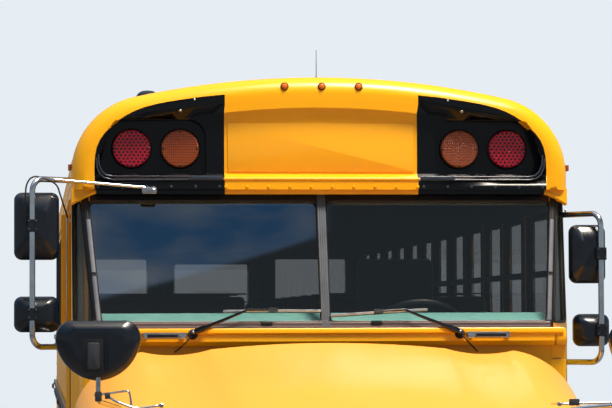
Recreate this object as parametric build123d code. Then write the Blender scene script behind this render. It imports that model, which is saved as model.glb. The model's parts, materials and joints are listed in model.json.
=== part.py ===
from build123d import *
import math
import os

# School bus of the conventional type: a tilting bonnet in front of a steel body with a blunt roof cap.
# X runs to the bus's left, Y to its back and Z up, in mm. The origin is on the ground under the middle.
# A place along the bus is a station: its distance behind the front face of the front bumper.

# Overall sizes
LENGTH = 10700
BODY_HALF = 1219          # half the width over the side panels
ROOF_TOP = 3130
SKIRT_Z = 560             # lower edge of the side panels
FLOOR_Z = 1070            # top of the floor
FLOOR_PLATE = 40
WALL = 50                 # side and end walls, with their lining
ROOF_SHELL = 45
FIT = 0.05                # clearance where a piece rests on another or turns on it

# Roof section: a vertical side, a corner arc and a crown arc that meet tangentially
SPRING_Z = 2650           # where the corner arc starts
ROOF_CORNER = 390
HEADER_Z = 2575           # where the roof and the cap sit on the walls

# Stations of the body
CAP_FRONT = 1720          # front plane of the roof cap
NOSE_LOW = 1560           # windscreen wall at the sill
NOSE_HIGH = 1800          # windscreen wall at the header
NOSE_SILL = 1900          # height of the sill
NOSE_HALF_LOW = BODY_HALF - 119     # half width of the flat windscreen wall at the sill
NOSE_HALF_HIGH = BODY_HALF - 54
CORNER_BACK = 1800        # where the chamfered corner meets the side, at the sill
WALL_FRONT = 1950         # front edge of both side walls
ROOF_FRONT = 1990
BUMPER_DEEP = 100
END_BACK = LENGTH - BUMPER_DEEP     # outer face of the rear wall
END_FRONT = END_BACK - 120          # where the rear wall's rim starts
END_ROUND = 90

# Chassis
RAIL_OUT = 432            # outer face of a frame rail
RAIL_WIDE = 75
RAIL_LOW, RAIL_TOP = 700, 950
RAIL_FRONT, RAIL_BACK = 300, END_BACK - 55
RAIL_WEB = 10
BUMPER_LOW, BUMPER_TOP = 500, 800
BUMPER_HALF = BODY_HALF - 29
AXLE_Z = 510              # the tyres' radius
FRONT_AXLE, REAR_AXLE = 980, LENGTH - 3270
FRONT_WHEEL_X = BODY_HALF - 189
KINGPIN_X = FRONT_WHEEL_X - 110
REAR_WHEEL_X = BODY_HALF - 304      # middle of the twin wheels
TWIN_GAP = 330            # between the middles of the two tyres
ARCH = 610                # radius of the front wheel arch
REAR_ARCH = 600

# Tyres and rims, 22.5 inch
TYRE_R, TYRE_HALF = AXLE_Z, 127
BEAD_R, BEAD_HALF = 286, 100
SPINDLE_R = 32
AXLE_TUBE_R = 62

# Side windows
SILL_Z, HEAD_Z = 1840, 2480
WINDOW_START, WINDOW_PITCH, WINDOW_WIDE = 2840, 695, 615
WINDOWS = int((END_FRONT - WINDOW_START - WINDOW_WIDE) / WINDOW_PITCH) + 1
SASH = 32                 # width and depth of a window's sash bars
GLASS = 6

# Entrance door, on the bus's right side
DOOR_FRONT, DOOR_BACK = 1955, 2695
DOOR_LOW, DOOR_HEAD = 420, 2480
DOOR_LEAF = 40
DOOR_EDGE = 8             # gap round a leaf
HINGE_OUT = -BODY_HALF - 4          # X of the leaves' hinge pins

# Rear emergency door
EXIT_HALF = 400
EXIT_HEAD = 2480

# Roof cap
CAP_ROUND = 85
CAP_INSET = 108           # the sign recess inside the roof's outline, at its mouth
SIGN_INSET = 150          # and at its back
SIGN_DEEP = 55            # how far the sign stands behind the cap's front plane
LEDGE_LOW, LEDGE_HIGH = 2620, 2655   # the recess's sloping sill, front and back
LAMP_Z = 2778
RED_X, AMBER_X = BODY_HALF - 293, BODY_HALF - 531
LAMP_R = 93
LAMP_TALL = 28
POCKET_IN, POCKET_OUT = AMBER_X - 126, RED_X + 166    # lamp pocket's inner and outer X at its foot
POCKET_LEAN = 68                     # how far its outer side leans in
POCKET_TOP = LEDGE_HIGH + 265
POCKET_DEEP = 45
POCKET_ROUND = 90
MARKER_GAP, MARKER_Z, MARKER_R = 182, ROOF_TOP - 51, 15    # the three small round lamps on the brow

# Bonnet
HINGE_S, HINGE_Z, HINGE_R = 170, 830, 14
BONNET_SKIN = 28
BONNET_LOW = 700
BONNET_TAIL = NOSE_LOW + 60         # back edge of the panels behind the front wheels
GRILLE_HALF, GRILLE_LOW, GRILLE_TOP = 430, 905, 1290
NOSE_ROUND = 60           # radius round the bonnet's front face

FAR = BODY_HALF + 800     # a cut that goes right through a side reaches this X


def at(station):
    """The Y of a station."""
    return station - LENGTH / 2


def block(x, s, z):
    """A box between two X values, two stations and two heights."""
    (x0, x1), (s0, s1), (z0, z1) = sorted(x), sorted(s), sorted(z)
    middle = Pos((x0 + x1) / 2, at((s0 + s1) / 2), (z0 + z1) / 2)
    return middle * Box(x1 - x0, s1 - s0, z1 - z0)


def rod(start, end, radius):
    """A round bar between two points given as X, station and Z."""
    a = Vector(start[0], at(start[1]), start[2])
    b = Vector(end[0], at(end[1]), end[2])
    return extrude(Plane(origin=a, z_dir=b - a) * Circle(radius), amount=(b - a).length)


def along_x(radius, x, s, z):
    """A round bar along X between two X values."""
    return rod((min(x), s, z), (max(x), s, z), radius)


def prism(face, s0, s1):
    """An outline in X and Z made solid from one station to another."""
    section = Plane(origin=(0, at(s1), 0), x_dir=(1, 0, 0), z_dir=(0, -1, 0))
    return extrude(section * face, amount=s1 - s0)


def face_upright(face):
    """An outline in X and Z, stood up to face the front."""
    return Rot(90, 0, 0) * face


def side_plate(face, x0, x1):
    """An outline in station and Z made solid between two X values."""
    section = Plane(origin=(x0, at(0), 0), x_dir=(0, 1, 0), z_dir=(1, 0, 0))
    return extrude(section * face, amount=x1 - x0)


def outline(*points):
    return make_face(Polyline(*points, close=True))


def both_sides(shape):
    """The shape and its mirror image on the other side of the bus."""
    return [shape, mirror(shape, about=Plane.YZ)]


def fused(shapes):
    """One body from shapes that touch."""
    shapes = list(shapes)
    return shapes[0].fuse(*shapes[1:]) if len(shapes) > 1 else shapes[0]


def group(shapes):
    """Separate solids that share a node."""
    solids = [solid for shape in shapes for solid in shape.solids()]
    return Compound(children=solids)


def crown_radius():
    """Radius of the roof's crown arc, tangent to the corner arcs."""
    across = BODY_HALF - ROOF_CORNER
    drop = ROOF_TOP - SPRING_Z
    return (across**2 + drop**2 - ROOF_CORNER**2) / (2 * (drop - ROOF_CORNER))


def body_section(inset, low):
    """The body's outline in X and Z, moved in by inset, down to a height."""
    crown = crown_radius()
    corner = Vector(BODY_HALF - ROOF_CORNER, SPRING_Z)
    middle = Vector(0, ROOF_TOP - crown)
    radius = ROOF_CORNER - inset
    out = (corner - middle).normalized()
    meet = corner + out * radius
    half = math.atan2(out.Y, out.X) / 2
    bend = corner + Vector(math.cos(half), math.sin(half)) * radius
    side = BODY_HALF - inset
    right = [Line((side, low), (side, SPRING_Z)),
             ThreePointArc((side, SPRING_Z), (bend.X, bend.Y), (meet.X, meet.Y))]
    crown_arc = ThreePointArc((meet.X, meet.Y), (0, ROOF_TOP - inset), (-meet.X, meet.Y))
    left = [ThreePointArc((-meet.X, meet.Y), (-bend.X, bend.Y), (-side, SPRING_Z)),
            Line((-side, SPRING_Z), (-side, low))]
    return make_face(right + [crown_arc] + left + [Line((-side, low), (side, low))])


def nose_plan(inset, front, half, back):
    """Plan of the body's nose: flat front, chamfered corners and straight sides, moved in by inset."""
    reach = CORNER_BACK - NOSE_LOW
    width = BODY_HALF - NOSE_HALF_LOW
    length = math.hypot(reach, width)
    corner_s = front + (BODY_HALF - half) * reach / width
    side = BODY_HALF - inset
    shift = inset * length / width
    front_s = front + inset
    front_x = half + (front_s - front - shift) * width / reach
    side_s = corner_s + shift - inset * reach / width
    return [(-side, at(back)), (-side, at(side_s)), (-front_x, at(front_s)),
            (front_x, at(front_s)), (side, at(side_s)), (side, at(back))]


def nose_solid(inset, low, high, back):
    """The nose between two heights, with its windscreen wall sloping back."""
    def level(z):
        share = max(0, z - NOSE_SILL) / (HEADER_Z - NOSE_SILL)
        front = NOSE_LOW + share * (NOSE_HIGH - NOSE_LOW)
        half = NOSE_HALF_LOW + share * (NOSE_HALF_HIGH - NOSE_HALF_LOW)
        return Plane.XY.offset(z) * outline(*nose_plan(inset, front, half, back))
    return loft([level(low), level(high)], ruled=True)


def facet(low_front, low_back, high_front):
    """A plane on three points of the nose, its normal outwards."""
    origin = Vector(*low_front)
    across = Vector(*low_back) - origin
    up = Vector(*high_front) - origin
    return Plane(origin=origin, x_dir=across, z_dir=across.cross(up))


def windscreen_panes():
    """For each pane: its plane and its outline on that plane."""
    slope = math.hypot(HEADER_Z - NOSE_SILL, NOSE_HIGH - NOSE_LOW)
    front = facet((0, at(NOSE_LOW), NOSE_SILL), (1, at(NOSE_LOW), NOSE_SILL), (0, at(NOSE_HIGH), HEADER_Z))
    post, low, high = 22, 24, slope - 58
    lean = (NOSE_HALF_HIGH - NOSE_HALF_LOW) / slope
    edge = 26
    right = [(post, low), (NOSE_HALF_LOW - edge + lean * low, low),
             (NOSE_HALF_LOW - edge + lean * high, high), (post, high)]
    panes = [(front, right), (front, [(-x, y) for x, y in reversed(right)])]
    reach, width = CORNER_BACK - NOSE_LOW, BODY_HALF - NOSE_HALF_LOW
    top_back = NOSE_HIGH + (BODY_HALF - NOSE_HALF_HIGH) * reach / width
    corners = [(NOSE_HALF_LOW, at(NOSE_LOW), NOSE_SILL), (BODY_HALF, at(CORNER_BACK), NOSE_SILL),
               (BODY_HALF, at(top_back), HEADER_Z), (NOSE_HALF_HIGH, at(NOSE_HIGH), HEADER_Z)]
    low_edge, high_edge, front_edge, back_edge = 0.035, 0.92, 0.10, 0.88

    def on_corner(u, v):
        a = Vector(*corners[0]) * (1 - u) + Vector(*corners[1]) * u
        b = Vector(*corners[3]) * (1 - u) + Vector(*corners[2]) * u
        return a * (1 - v) + b * v
    spots = [on_corner(front_edge, low_edge), on_corner(back_edge, low_edge),
             on_corner(back_edge - 0.04, high_edge), on_corner(front_edge + 0.12, high_edge)]
    left_plane = facet(corners[0], corners[1], corners[3])
    flat = [left_plane.to_local_coords(p) for p in spots]
    panes.append((left_plane, [(p.X, p.Y) for p in flat]))
    mirrored = [Vector(-p.X, p.Y, p.Z) for p in spots]
    right_plane = facet((-corners[0][0], *corners[0][1:]), (-corners[3][0], *corners[3][1:]),
                        (-corners[1][0], *corners[1][1:]))
    flat = [right_plane.to_local_coords(p) for p in mirrored]
    panes.append((right_plane, [(p.X, p.Y) for p in flat]))
    return panes


def pane_solid(plane, points, front, back):
    """A pane's outline made solid from front to back of its plane, inwards being positive."""
    shape = extrude(outline(*points), amount=back - front)
    return plane * Pos(0, 0, -back) * shape


# Body

def windscreen_frame():
    shell = nose_solid(0, NOSE_SILL, HEADER_Z, WALL_FRONT)
    shell -= nose_solid(WALL, NOSE_SILL, HEADER_Z, WALL_FRONT + 50)
    for plane, points in windscreen_panes():
        shell -= pane_solid(plane, points, -30, 110)
    return shell


# Moulded shelf below the windscreen. A point is how far it stands out and its depth below the sill.
SHELF = [(24, 0), (40, 26), (44, 62), (30, 84)]


def shelf_solid():
    points = [(NOSE_LOW - out, NOSE_SILL - drop) for out, drop in SHELF]
    face = outline((NOSE_LOW, NOSE_SILL), *points, (NOSE_LOW, points[-1][1]))
    shelf = side_plate(face, -NOSE_HALF_LOW - 20, NOSE_HALF_LOW + 20)
    return shelf - nose_solid(0, FLOOR_Z, NOSE_SILL, WALL_FRONT)


def cowl():
    """Firewall and front corners below the windscreen, with the moulded shelf that carries the wipers."""
    shell = nose_solid(0, FLOOR_Z, NOSE_SILL, WALL_FRONT)
    shell -= nose_solid(WALL, FLOOR_Z, NOSE_SILL, WALL_FRONT + 50)
    shelf = shelf_solid()
    for side in (-1, 1):
        hole = wiper_plane() * Pos(side * WIPER_X, WIPER_RISE, -60) * Cylinder(WIPER_SHAFT_R + FIT, 240)
        shell -= hole
        shelf -= hole
    skirt = block((BODY_HALF - WALL, BODY_HALF), (NOSE_LOW + 80, WALL_FRONT), (SKIRT_Z, FLOOR_Z))
    skirt -= along_x(ARCH + 30, (0, FAR), FRONT_AXLE, AXLE_Z)
    corner = block((NOSE_HALF_LOW, BODY_HALF), (CORNER_BACK, WALL_FRONT), (FLOOR_Z - 60, FLOOR_Z))
    sides = both_sides(skirt) + both_sides(corner - block((0, BODY_HALF - WALL), (0, LENGTH), (0, ROOF_TOP)))
    return fused([shell, shelf] + sides)


def window_openings(side, first, count):
    """The window openings of one side wall, right through it."""
    x = (side * (BODY_HALF - WALL - 10), side * (BODY_HALF + 10))
    for i in range(count):
        s = first + i * WINDOW_PITCH
        yield block(x, (s, s + WINDOW_WIDE), (SILL_Z, HEAD_Z))


def side_wall(side):
    x = (side * (BODY_HALF - WALL), side * BODY_HALF)
    wall = block(x, (WALL_FRONT, END_FRONT), (SKIRT_Z, HEADER_Z))
    wall -= along_x(REAR_ARCH, (0, side * FAR), REAR_AXLE, AXLE_Z)
    return wall - list(window_openings(side, WINDOW_START, WINDOWS))


DRIVER_WINDOW = (2060, 2720)
STOP_HINGE = (BODY_HALF + 43, 2860)   # X and station of the stop arm's hinge
STOP_Z = 1610
PIN_R = 5                 # door and stop arm hinge pins


def left_wall():
    wall = side_wall(1)
    wall -= block((BODY_HALF - 2 * WALL, BODY_HALF + WALL), DRIVER_WINDOW, (SILL_Z, HEAD_Z))
    hinge_box = block((BODY_HALF, STOP_HINGE[0] - 18), (STOP_HINGE[1] - 60, STOP_HINGE[1] - 14),
                      (STOP_Z - 110, STOP_Z + 110))
    x, s = STOP_HINGE
    knuckles = [rod((x, s, STOP_Z + z), (x, s, STOP_Z + z + 30), 9)
                + block((x - 30, x), (s - 40, s - 5), (STOP_Z + z, STOP_Z + z + 30)) for z in (-105, 75)]
    ends = [(STOP_HINGE[0], STOP_HINGE[1], STOP_Z + z) for z in (-120, 120)]
    return fused([wall, hinge_box] + knuckles) - rod(*ends, PIN_R + FIT)


def right_wall():
    """The wall behind the entrance door, and the header over the door."""
    wall = side_wall(-1) - block((-FAR, 0), (0, DOOR_BACK + 5), (0, ROOF_TOP))
    header = block((-BODY_HALF, -BODY_HALF + WALL), (WALL_FRONT, DOOR_BACK + 4.5), (DOOR_HEAD, HEADER_Z))
    return group([wall, fused([header] + [hinge_pins(s)[0] for s in (FRONT_LEAF[0], REAR_LEAF[1])])])


def roof():
    shell = prism(body_section(0, HEADER_Z), ROOF_FRONT, END_FRONT)
    shell -= prism(body_section(ROOF_SHELL, HEADER_Z - 50), ROOF_FRONT - 10, END_FRONT + 10)
    for s in HATCH_STATIONS:
        curb = block((-HATCH_HALF, HATCH_HALF), (s - HATCH_HALF, s + HATCH_HALF),
                     (ROOF_TOP - 60, HATCH_SEAT))
        hole = block((-HATCH_HALF + 30, HATCH_HALF - 30), (s - HATCH_HALF + 30, s + HATCH_HALF - 30),
                     (ROOF_TOP - 200, HATCH_SEAT + 50))
        shell = (shell + curb) - hole
    return shell


def roof_fittings():
    """Whip antenna on its base and a low round dome."""
    base = rod((WHIP[0], WHIP[1], ROOF_TOP - 20), (WHIP[0], WHIP[1], ROOF_TOP + 26), 17)
    whip = rod((WHIP[0], WHIP[1], ROOF_TOP + 20), (WHIP[0], WHIP[1], ROOF_TOP + WHIP[2]), 3)
    low = ROOF_TOP - crown_radius() + math.sqrt(crown_radius()**2 - DOME[0]**2)
    dome = rod((-DOME[0], DOME[1], low - 30), (-DOME[0], DOME[1], low + DOME[3]), DOME[2])
    dome = fillet(dome.faces().sort_by(Axis.Z)[-1].edges(), 22)
    roof_solid = prism(body_section(-FIT, HEADER_Z), WHIP[1] - 200, DOME[1] + 200)
    return group([fused([base, whip]) - roof_solid, dome - roof_solid])


WHIP = (25, 2250, 178)          # X, station and height over the roof
DOME = (800, 3000, 62, 42)      # X on the right side, station, radius and height
HATCH_STATIONS = (4350, LENGTH - 2400)
HATCH_HALF = 300
HATCH_SEAT = ROOF_TOP + 22


def roof_hatch(s):
    """A lid with a turned-down lip, hinged at its back edge."""
    edge = HATCH_HALF + 26
    lid = block((-edge, edge), (s - edge, s + edge), (HATCH_SEAT + FIT, HATCH_SEAT + 34))
    lid = fillet(lid.faces().sort_by(Axis.Z)[-1].edges(), 12)
    barrel = along_x(9, (-160, 160), s + edge + 12, HATCH_SEAT + 12)
    ear = block((-160, 160), (s + edge - 5, s + edge + 12), (HATCH_SEAT + 5, HATCH_SEAT + 19))
    return fused([lid, barrel, ear])


def end_edges(body, station, low):
    """The edges of an end face that lie above a height."""
    return [e for e in body.edges() if abs(e.center().Y - at(station)) < 1 and e.center().Z > low + 5]


def front_cap_body():
    body = prism(body_section(0, HEADER_Z), CAP_FRONT, ROOF_FRONT)
    return fillet(end_edges(body, CAP_FRONT, HEADER_Z), CAP_ROUND)


EAR_WIDE, EAR_DROP, EAR_BACK = 62, 58, 1900      # the lobe's width, reach below the header and back end


def cap_ear():
    """Rounded lobe of the cap that hangs over the top of the windscreen's corner post."""
    lobe = block((BODY_HALF - EAR_WIDE, BODY_HALF), (CAP_FRONT + CAP_ROUND / 2, EAR_BACK),
                 (HEADER_Z - EAR_DROP, HEADER_Z + 4))
    lobe = fillet(lobe.edges().filter_by(Axis.Y).group_by(Axis.Z)[0], EAR_WIDE / 2 - 1)
    lobe = fillet(lobe.faces().sort_by(Axis.Y)[0].edges().group_by(Axis.Z)[0], 18)
    return lobe - nose_solid(-FIT, NOSE_SILL, HEADER_Z, WALL_FRONT)


def front_cap():
    """Blunt cap over the windscreen, with a rounded brow, a recessed sign and a lamp pocket on each side."""
    body = front_cap_body()
    mouth, back = CAP_FRONT - 1, CAP_FRONT + SIGN_DEEP
    mouth_face = body_section(CAP_INSET, LEDGE_LOW - 20)
    recess = loft([Plane(origin=(0, at(s), 0)) * face_upright(face) for s, face in
                   ((mouth, mouth_face), (back, body_section(SIGN_INSET, LEDGE_LOW - 20)))], ruled=True)
    sill = outline((CAP_FRONT, LEDGE_LOW - 30), (CAP_FRONT, LEDGE_LOW), (back, LEDGE_HIGH),
                   (back + 10, LEDGE_HIGH), (back + 10, LEDGE_LOW - 30))
    sill = side_plate(sill, 60 - BODY_HALF, BODY_HALF - 60)
    body = body - recess + sill
    shape = outline((POCKET_IN, LEDGE_HIGH), (POCKET_IN, POCKET_TOP), (POCKET_OUT - POCKET_LEAN, POCKET_TOP),
                    (POCKET_OUT, LEDGE_HIGH))
    shape = fillet(shape.vertices().group_by(Axis.Y)[-1], POCKET_ROUND)
    body -= both_sides(prism(shape, CAP_FRONT, back + POCKET_DEEP))
    cavity_front = CAP_FRONT + SIGN_DEEP + POCKET_DEEP + 30
    body -= prism(body_section(ROOF_SHELL, HEADER_Z - 50), cavity_front, ROOF_FRONT + 10)
    return fused([body] + both_sides(cap_ear()))


def rear_wall():
    """Rear end with rounded edges, two windows, the exit's opening and pockets for the lamps."""
    body = prism(body_section(0, SKIRT_Z), END_FRONT, END_BACK)
    body = fillet(end_edges(body, END_BACK, SKIRT_Z), END_ROUND)
    body -= prism(body_section(WALL, SKIRT_Z - 20), END_FRONT - 10, END_BACK - WALL)
    body -= block((-EXIT_HALF, EXIT_HALF), (END_FRONT - 10, END_BACK + 10), (FLOOR_Z, EXIT_HEAD))
    body -= block((-CHASSIS_GAP_HALF, CHASSIS_GAP_HALF), (END_FRONT, END_BACK + 10), (0, CHASSIS_GAP_TOP))
    for window in both_sides(block(REAR_WINDOW_X, (END_FRONT, END_BACK + 10), REAR_WINDOW_Z)):
        body -= window
    pins = [rod((EXIT_HINGE_X, EXIT_HINGE_S, z), (EXIT_HINGE_X, EXIT_HINGE_S, z + 78), PIN_R)
            for z in EXIT_KNUCKLES]
    return fused([body] + list(exit_knuckles(-1, 0, 40)) + pins)


REAR_WINDOW_X, REAR_WINDOW_Z = (EXIT_HALF + 100, BODY_HALF - 139), (1790, 2440)
CHASSIS_GAP_HALF, CHASSIS_GAP_TOP = BODY_HALF - 159, 752   # where the chassis passes below the rear wall


def floor():
    inner = BODY_HALF - WALL
    plate = block((-inner, inner), (NOSE_LOW + 330, END_BACK - WALL), (FLOOR_Z - FLOOR_PLATE, FLOOR_Z))
    toe = block((100 - NOSE_HALF_LOW, NOSE_HALF_LOW - 100), (NOSE_LOW + WALL, NOSE_LOW + 330),
                (FLOOR_Z - FLOOR_PLATE, FLOOR_Z))
    first, pitch = NOSE_LOW + 190, 700
    stations = [first + i * pitch for i in range(int((END_BACK - 100 - first) / pitch) + 1)]
    sills = [block((WALL - inner, inner - WALL), (s - 30, s + 30), (RAIL_TOP, FLOOR_Z - FLOOR_PLATE))
             for s in stations]
    pan = fused([plate, toe] + sills)
    pan -= block((-FAR, STEP_IN), (DOOR_FRONT - 5, DOOR_BACK + 5), (0, ROOF_TOP))
    house = block((HOUSE_IN, FAR), (REAR_AXLE - HOUSE_HALF, REAR_AXLE + HOUSE_HALF), (0, ROOF_TOP))
    for house in both_sides(house):
        pan -= house
    return pan


STEP_IN = 599 - BODY_HALF
STEP_PLATE = 12
HOUSE_IN, HOUSE_HALF, HOUSE_TOP, HOUSE_PLATE = REAR_WHEEL_X - 315, REAR_ARCH + 20, 1270, 12


def wheel_housings():
    """A rounded steel box over each pair of rear wheels, inside the cabin."""
    def arch(grow):
        half, top = HOUSE_HALF - grow, HOUSE_TOP - grow
        low, high = REAR_AXLE - half, REAR_AXLE + half
        shape = outline((low, 900), (high, 900), (high, top), (low, top))
        return fillet(shape.vertices().group_by(Axis.Y)[-1], 120)
    outer = side_plate(arch(0), HOUSE_IN, BODY_HALF - WALL)
    inner = side_plate(arch(HOUSE_PLATE), HOUSE_IN + HOUSE_PLATE, BODY_HALF - WALL + 5)
    shell = outer - inner - block((0, FAR), (0, LENGTH), (0, FLOOR_Z - FLOOR_PLATE))
    return group(both_sides(shell))


def step_well():
    """Three treads down to the entrance, with a plate at each end."""
    treads = (400, 620, 850)
    low = -BODY_HALF + WALL + 6
    depth = (STEP_IN - low) / len(treads)
    faces = []
    for i, z in enumerate(treads):
        edge = low + i * depth
        faces.append(block((edge, edge + depth), (DOOR_FRONT + 5, DOOR_BACK - 5), (z - STEP_PLATE, z)))
        top = treads[i + 1] if i + 1 < len(treads) else FLOOR_Z
        faces.append(block((edge + depth - STEP_PLATE, edge + depth), (DOOR_FRONT + 5, DOOR_BACK - 5),
                           (z - STEP_PLATE, top)))
    for s in (DOOR_FRONT - 5, DOOR_BACK + 5 - STEP_PLATE):
        faces.append(block((low, low + 3 * depth), (s, s + STEP_PLATE), (treads[0] - STEP_PLATE, FLOOR_Z)))
    return fused(faces + [hinge_pins(s)[1] for s in (FRONT_LEAF[0], REAR_LEAF[1])])


def window_places():
    """Side, front station and width of every side window."""
    places = [(side, WINDOW_START + i * WINDOW_PITCH, WINDOW_WIDE)
              for side in (-1, 1) for i in range(WINDOWS)]
    return places + [(1, DRIVER_WINDOW[0], DRIVER_WINDOW[1] - DRIVER_WINDOW[0])]


def window_sashes():
    """A frame with a lower and an upper light in each side window."""
    sashes = []
    for side, s, wide in window_places():
        x = (side * (BODY_HALF - 12 - SASH), side * (BODY_HALF - 12))
        frame = block(x, (s, s + wide), (SILL_Z, HEAD_Z))
        for low, high in window_lights():
            frame -= block((side * (BODY_HALF - 100), side * FAR), (s + SASH, s + wide - SASH), (low, high))
        sashes.append(frame)
    return group(sashes)


def window_lights():
    """Heights of the two panes of a side window."""
    rail = (SILL_Z + HEAD_Z) / 2 + 10
    return (SILL_Z + SASH, rail - SASH / 2), (rail + SASH / 2, HEAD_Z - SASH)


def body_glass():
    """Windscreen, side and rear panes."""
    panes = [pane_solid(plane, points, 8, 8 + GLASS) for plane, points in windscreen_panes()]
    for side, s, wide in window_places():
        for (low, high), out in zip(window_lights(), (30, 22)):
            x = (side * (BODY_HALF - out), side * (BODY_HALF - out - GLASS))
            panes.append(block(x, (s + SASH, s + wide - SASH), (low, high)))
    for pane in both_sides(block(REAR_WINDOW_X, (END_BACK - 28, END_BACK - 28 + GLASS), REAR_WINDOW_Z)):
        panes.append(pane)
    return group(panes)


# Rails along the outside: height of the middle, and whether the wheel arch cuts it
RUB_RAILS = [(1790, False), (1440, False), (1080, True), (760, True)]
RAIL_TALL, RAIL_PROUD = 100, 22


def rub_rails():
    """Pressed rails along both sides, with a groove between two ribs."""
    rails = []
    for side in (-1, 1):
        for z, cut in RUB_RAILS:
            outer = side * (BODY_HALF + RAIL_PROUD)
            rail = block((side * BODY_HALF, outer), (DOOR_BACK + 35, END_FRONT - 10),
                         (z - RAIL_TALL / 2, z + RAIL_TALL / 2))
            rail -= block((outer, outer - side * 10), (0, LENGTH), (z - 18, z + 18))
            if cut:
                rail -= along_x(REAR_ARCH + 25, (0, side * FAR), REAR_AXLE, AXLE_Z)
            rails.append(rail)
    return group(rails)


# Seats
ROW_START, ROW_PITCH = 3260, WINDOW_PITCH
ROWS = (END_BACK - WALL - ROW_START - 600) // ROW_PITCH + 1
SEAT_IN, SEAT_OUT = 195, BODY_HALF - WALL - 8
CUSHION = (400, 1400, 1520)      # depth, lower and upper Z
BACKREST = (85, 610, 8)          # thickness, height and rake in degrees
SEAT_GAP = 0.3                   # between a pad and the steel below it


def seat_pads():
    """Cushion and backrest of every bench, two benches to a row."""
    depth, low, high = CUSHION
    thick, tall, rake = BACKREST
    pads = []
    for i in range(ROWS):
        s = ROW_START + i * ROW_PITCH
        pads += both_sides(block((SEAT_IN, SEAT_OUT), (s, s + depth), (low + SEAT_GAP, high)))
        front, foot, head = s + depth + 12, high - 30 + SEAT_GAP, high - 30 + tall
        top = front + (head - foot) * math.tan(math.radians(rake))
        back = outline((front, foot), (front + thick, foot), (top + thick, head), (top, head))
        pads += both_sides(side_plate(back, SEAT_IN, SEAT_OUT))
    return group(pads)


def seat_frames():
    depth, low, high = CUSHION
    thick = BACKREST[0]
    frames = []
    for i in range(ROWS):
        s = ROW_START + i * ROW_PITCH
        tray = block((SEAT_IN + 15, BODY_HALF - WALL), (s + 30, s + depth + 12 + thick), (low - 30, low))
        leg = block((SEAT_IN + 40, SEAT_IN + 75), (s + 60, s + depth - 20), (FLOOR_Z, low - 30))
        leg -= block((0, 500), (s + 95, s + depth - 55), (FLOOR_Z + 30, low - 60))
        posts = [block((x, x + 35), (s + depth + 12, s + depth + 12 + thick), (low, high - 30))
                 for x in (SEAT_IN + 40, SEAT_OUT - 75)]
        frames += both_sides(fused([tray, leg] + posts))
    return group(frames)


DRIVER_X, DRIVER_S = 500, 2330


def driver_seat():
    x, s = DRIVER_X, DRIVER_S
    base = block((x - 130, x + 130), (s + 60, s + 400), (FLOOR_Z, 1440))
    cushion = block((x - 235, x + 235), (s, s + 470), (1440, 1560))
    back = Pos(x, at(s + 455), 1540) * Rot(-8, 0, 0) * Pos(0, 0, 370) * Box(440, 110, 740)
    return fused([base, cushion, back])


WHEEL_CENTRE = (500, 1985, 1890)
WHEEL_LEAN = 40
WHEEL_R = 230
COLUMN_TOP, SHAFT_R = 40, 12     # distance of the column's end below the wheel's plane, and its shaft


def dashboard():
    """Dash across the cab, with the steering column."""
    front = NOSE_LOW + WALL
    face = outline((front, 1560), (front, 1885), (front + 20, 1905), (front + 190, 1950), (front + 215, 1915),
                   (front + 190, 1700), (front + 90, 1560))
    dash = side_plate(face, 70 - NOSE_HALF_LOW, NOSE_HALF_LOW - 70)
    lean = math.radians(WHEEL_LEAN)
    x, s, z = WHEEL_CENTRE
    def below(distance):
        return (x, s - distance * math.sin(lean), z - distance * math.cos(lean))
    column = rod(below(COLUMN_TOP), below(420), 34)
    shaft = rod(below(COLUMN_TOP - 26), below(COLUMN_TOP + 5), SHAFT_R)
    return fused([dash, column, shaft])


def steering_wheel():
    lean = math.radians(WHEEL_LEAN)
    rim = Torus(WHEEL_R - 14, 14)
    hub = Pos(0, 0, -22) * Cylinder(48, 32)
    bore = Pos(0, 0, -COLUMN_TOP) * Cylinder(SHAFT_R + FIT, 54)
    reach = WHEEL_R - 14
    spokes = [Rot(0, 0, a) * Pos(reach / 2, 0, -16) * Box(reach, 26, 12) for a in (0, 120, 240)]
    wheel = fused([rim, hub] + spokes) - bore
    x, s, z = WHEEL_CENTRE
    return Pos(x, at(s), z) * Rot(-WHEEL_LEAN, 0, 0) * wheel


# Doors

def hinge_pins(hinge_s):
    """Brackets with a pin over and under a leaf of the entrance door: the upper and the lower one."""
    reach = (HINGE_OUT - 12, -BODY_HALF + 6)
    span = (hinge_s - DOOR_EDGE, hinge_s + DOOR_EDGE)
    upper = block(reach, span, (DOOR_HEAD, DOOR_HEAD + 30))
    upper += rod((HINGE_OUT, hinge_s, DOOR_HEAD - 40), (HINGE_OUT, hinge_s, DOOR_HEAD + 10), PIN_R)
    lower = block((reach[0], -BODY_HALF + WALL + 16), span, (DOOR_LOW - 26, DOOR_LOW - 8))
    lower += rod((HINGE_OUT, hinge_s, DOOR_LOW - 20), (HINGE_OUT, hinge_s, DOOR_LOW + 40), PIN_R)
    return upper, lower


def door_leaf(low_s, high_s, hinge_s):
    """One leaf of the entrance door, with an upper and a lower light and a hinge barrel down one edge."""
    x = (-BODY_HALF, -BODY_HALF + DOOR_LEAF)
    leaf = block(x, (low_s, high_s), (DOOR_LOW, DOOR_HEAD - DOOR_EDGE))
    for low, high in LEAF_LIGHTS:
        leaf -= block((-BODY_HALF - 80, DOOR_LEAF + 80 - BODY_HALF), (low_s + 55, high_s - 55), (low, high))
    leaf += rod((HINGE_OUT, hinge_s, DOOR_LOW), (HINGE_OUT, hinge_s, DOOR_HEAD - DOOR_EDGE), 10)
    return leaf - rod((HINGE_OUT, hinge_s, DOOR_LOW - 5), (HINGE_OUT, hinge_s, DOOR_HEAD), PIN_R + FIT)


LEAF_LIGHTS = [(560, 1180), (1260, 2400)]


def leaf_glass(low_s, high_s):
    x = (-BODY_HALF + 17, -BODY_HALF + 17 + GLASS)
    return group(block(x, (low_s + 55, high_s - 55), z) for z in LEAF_LIGHTS)


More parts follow.
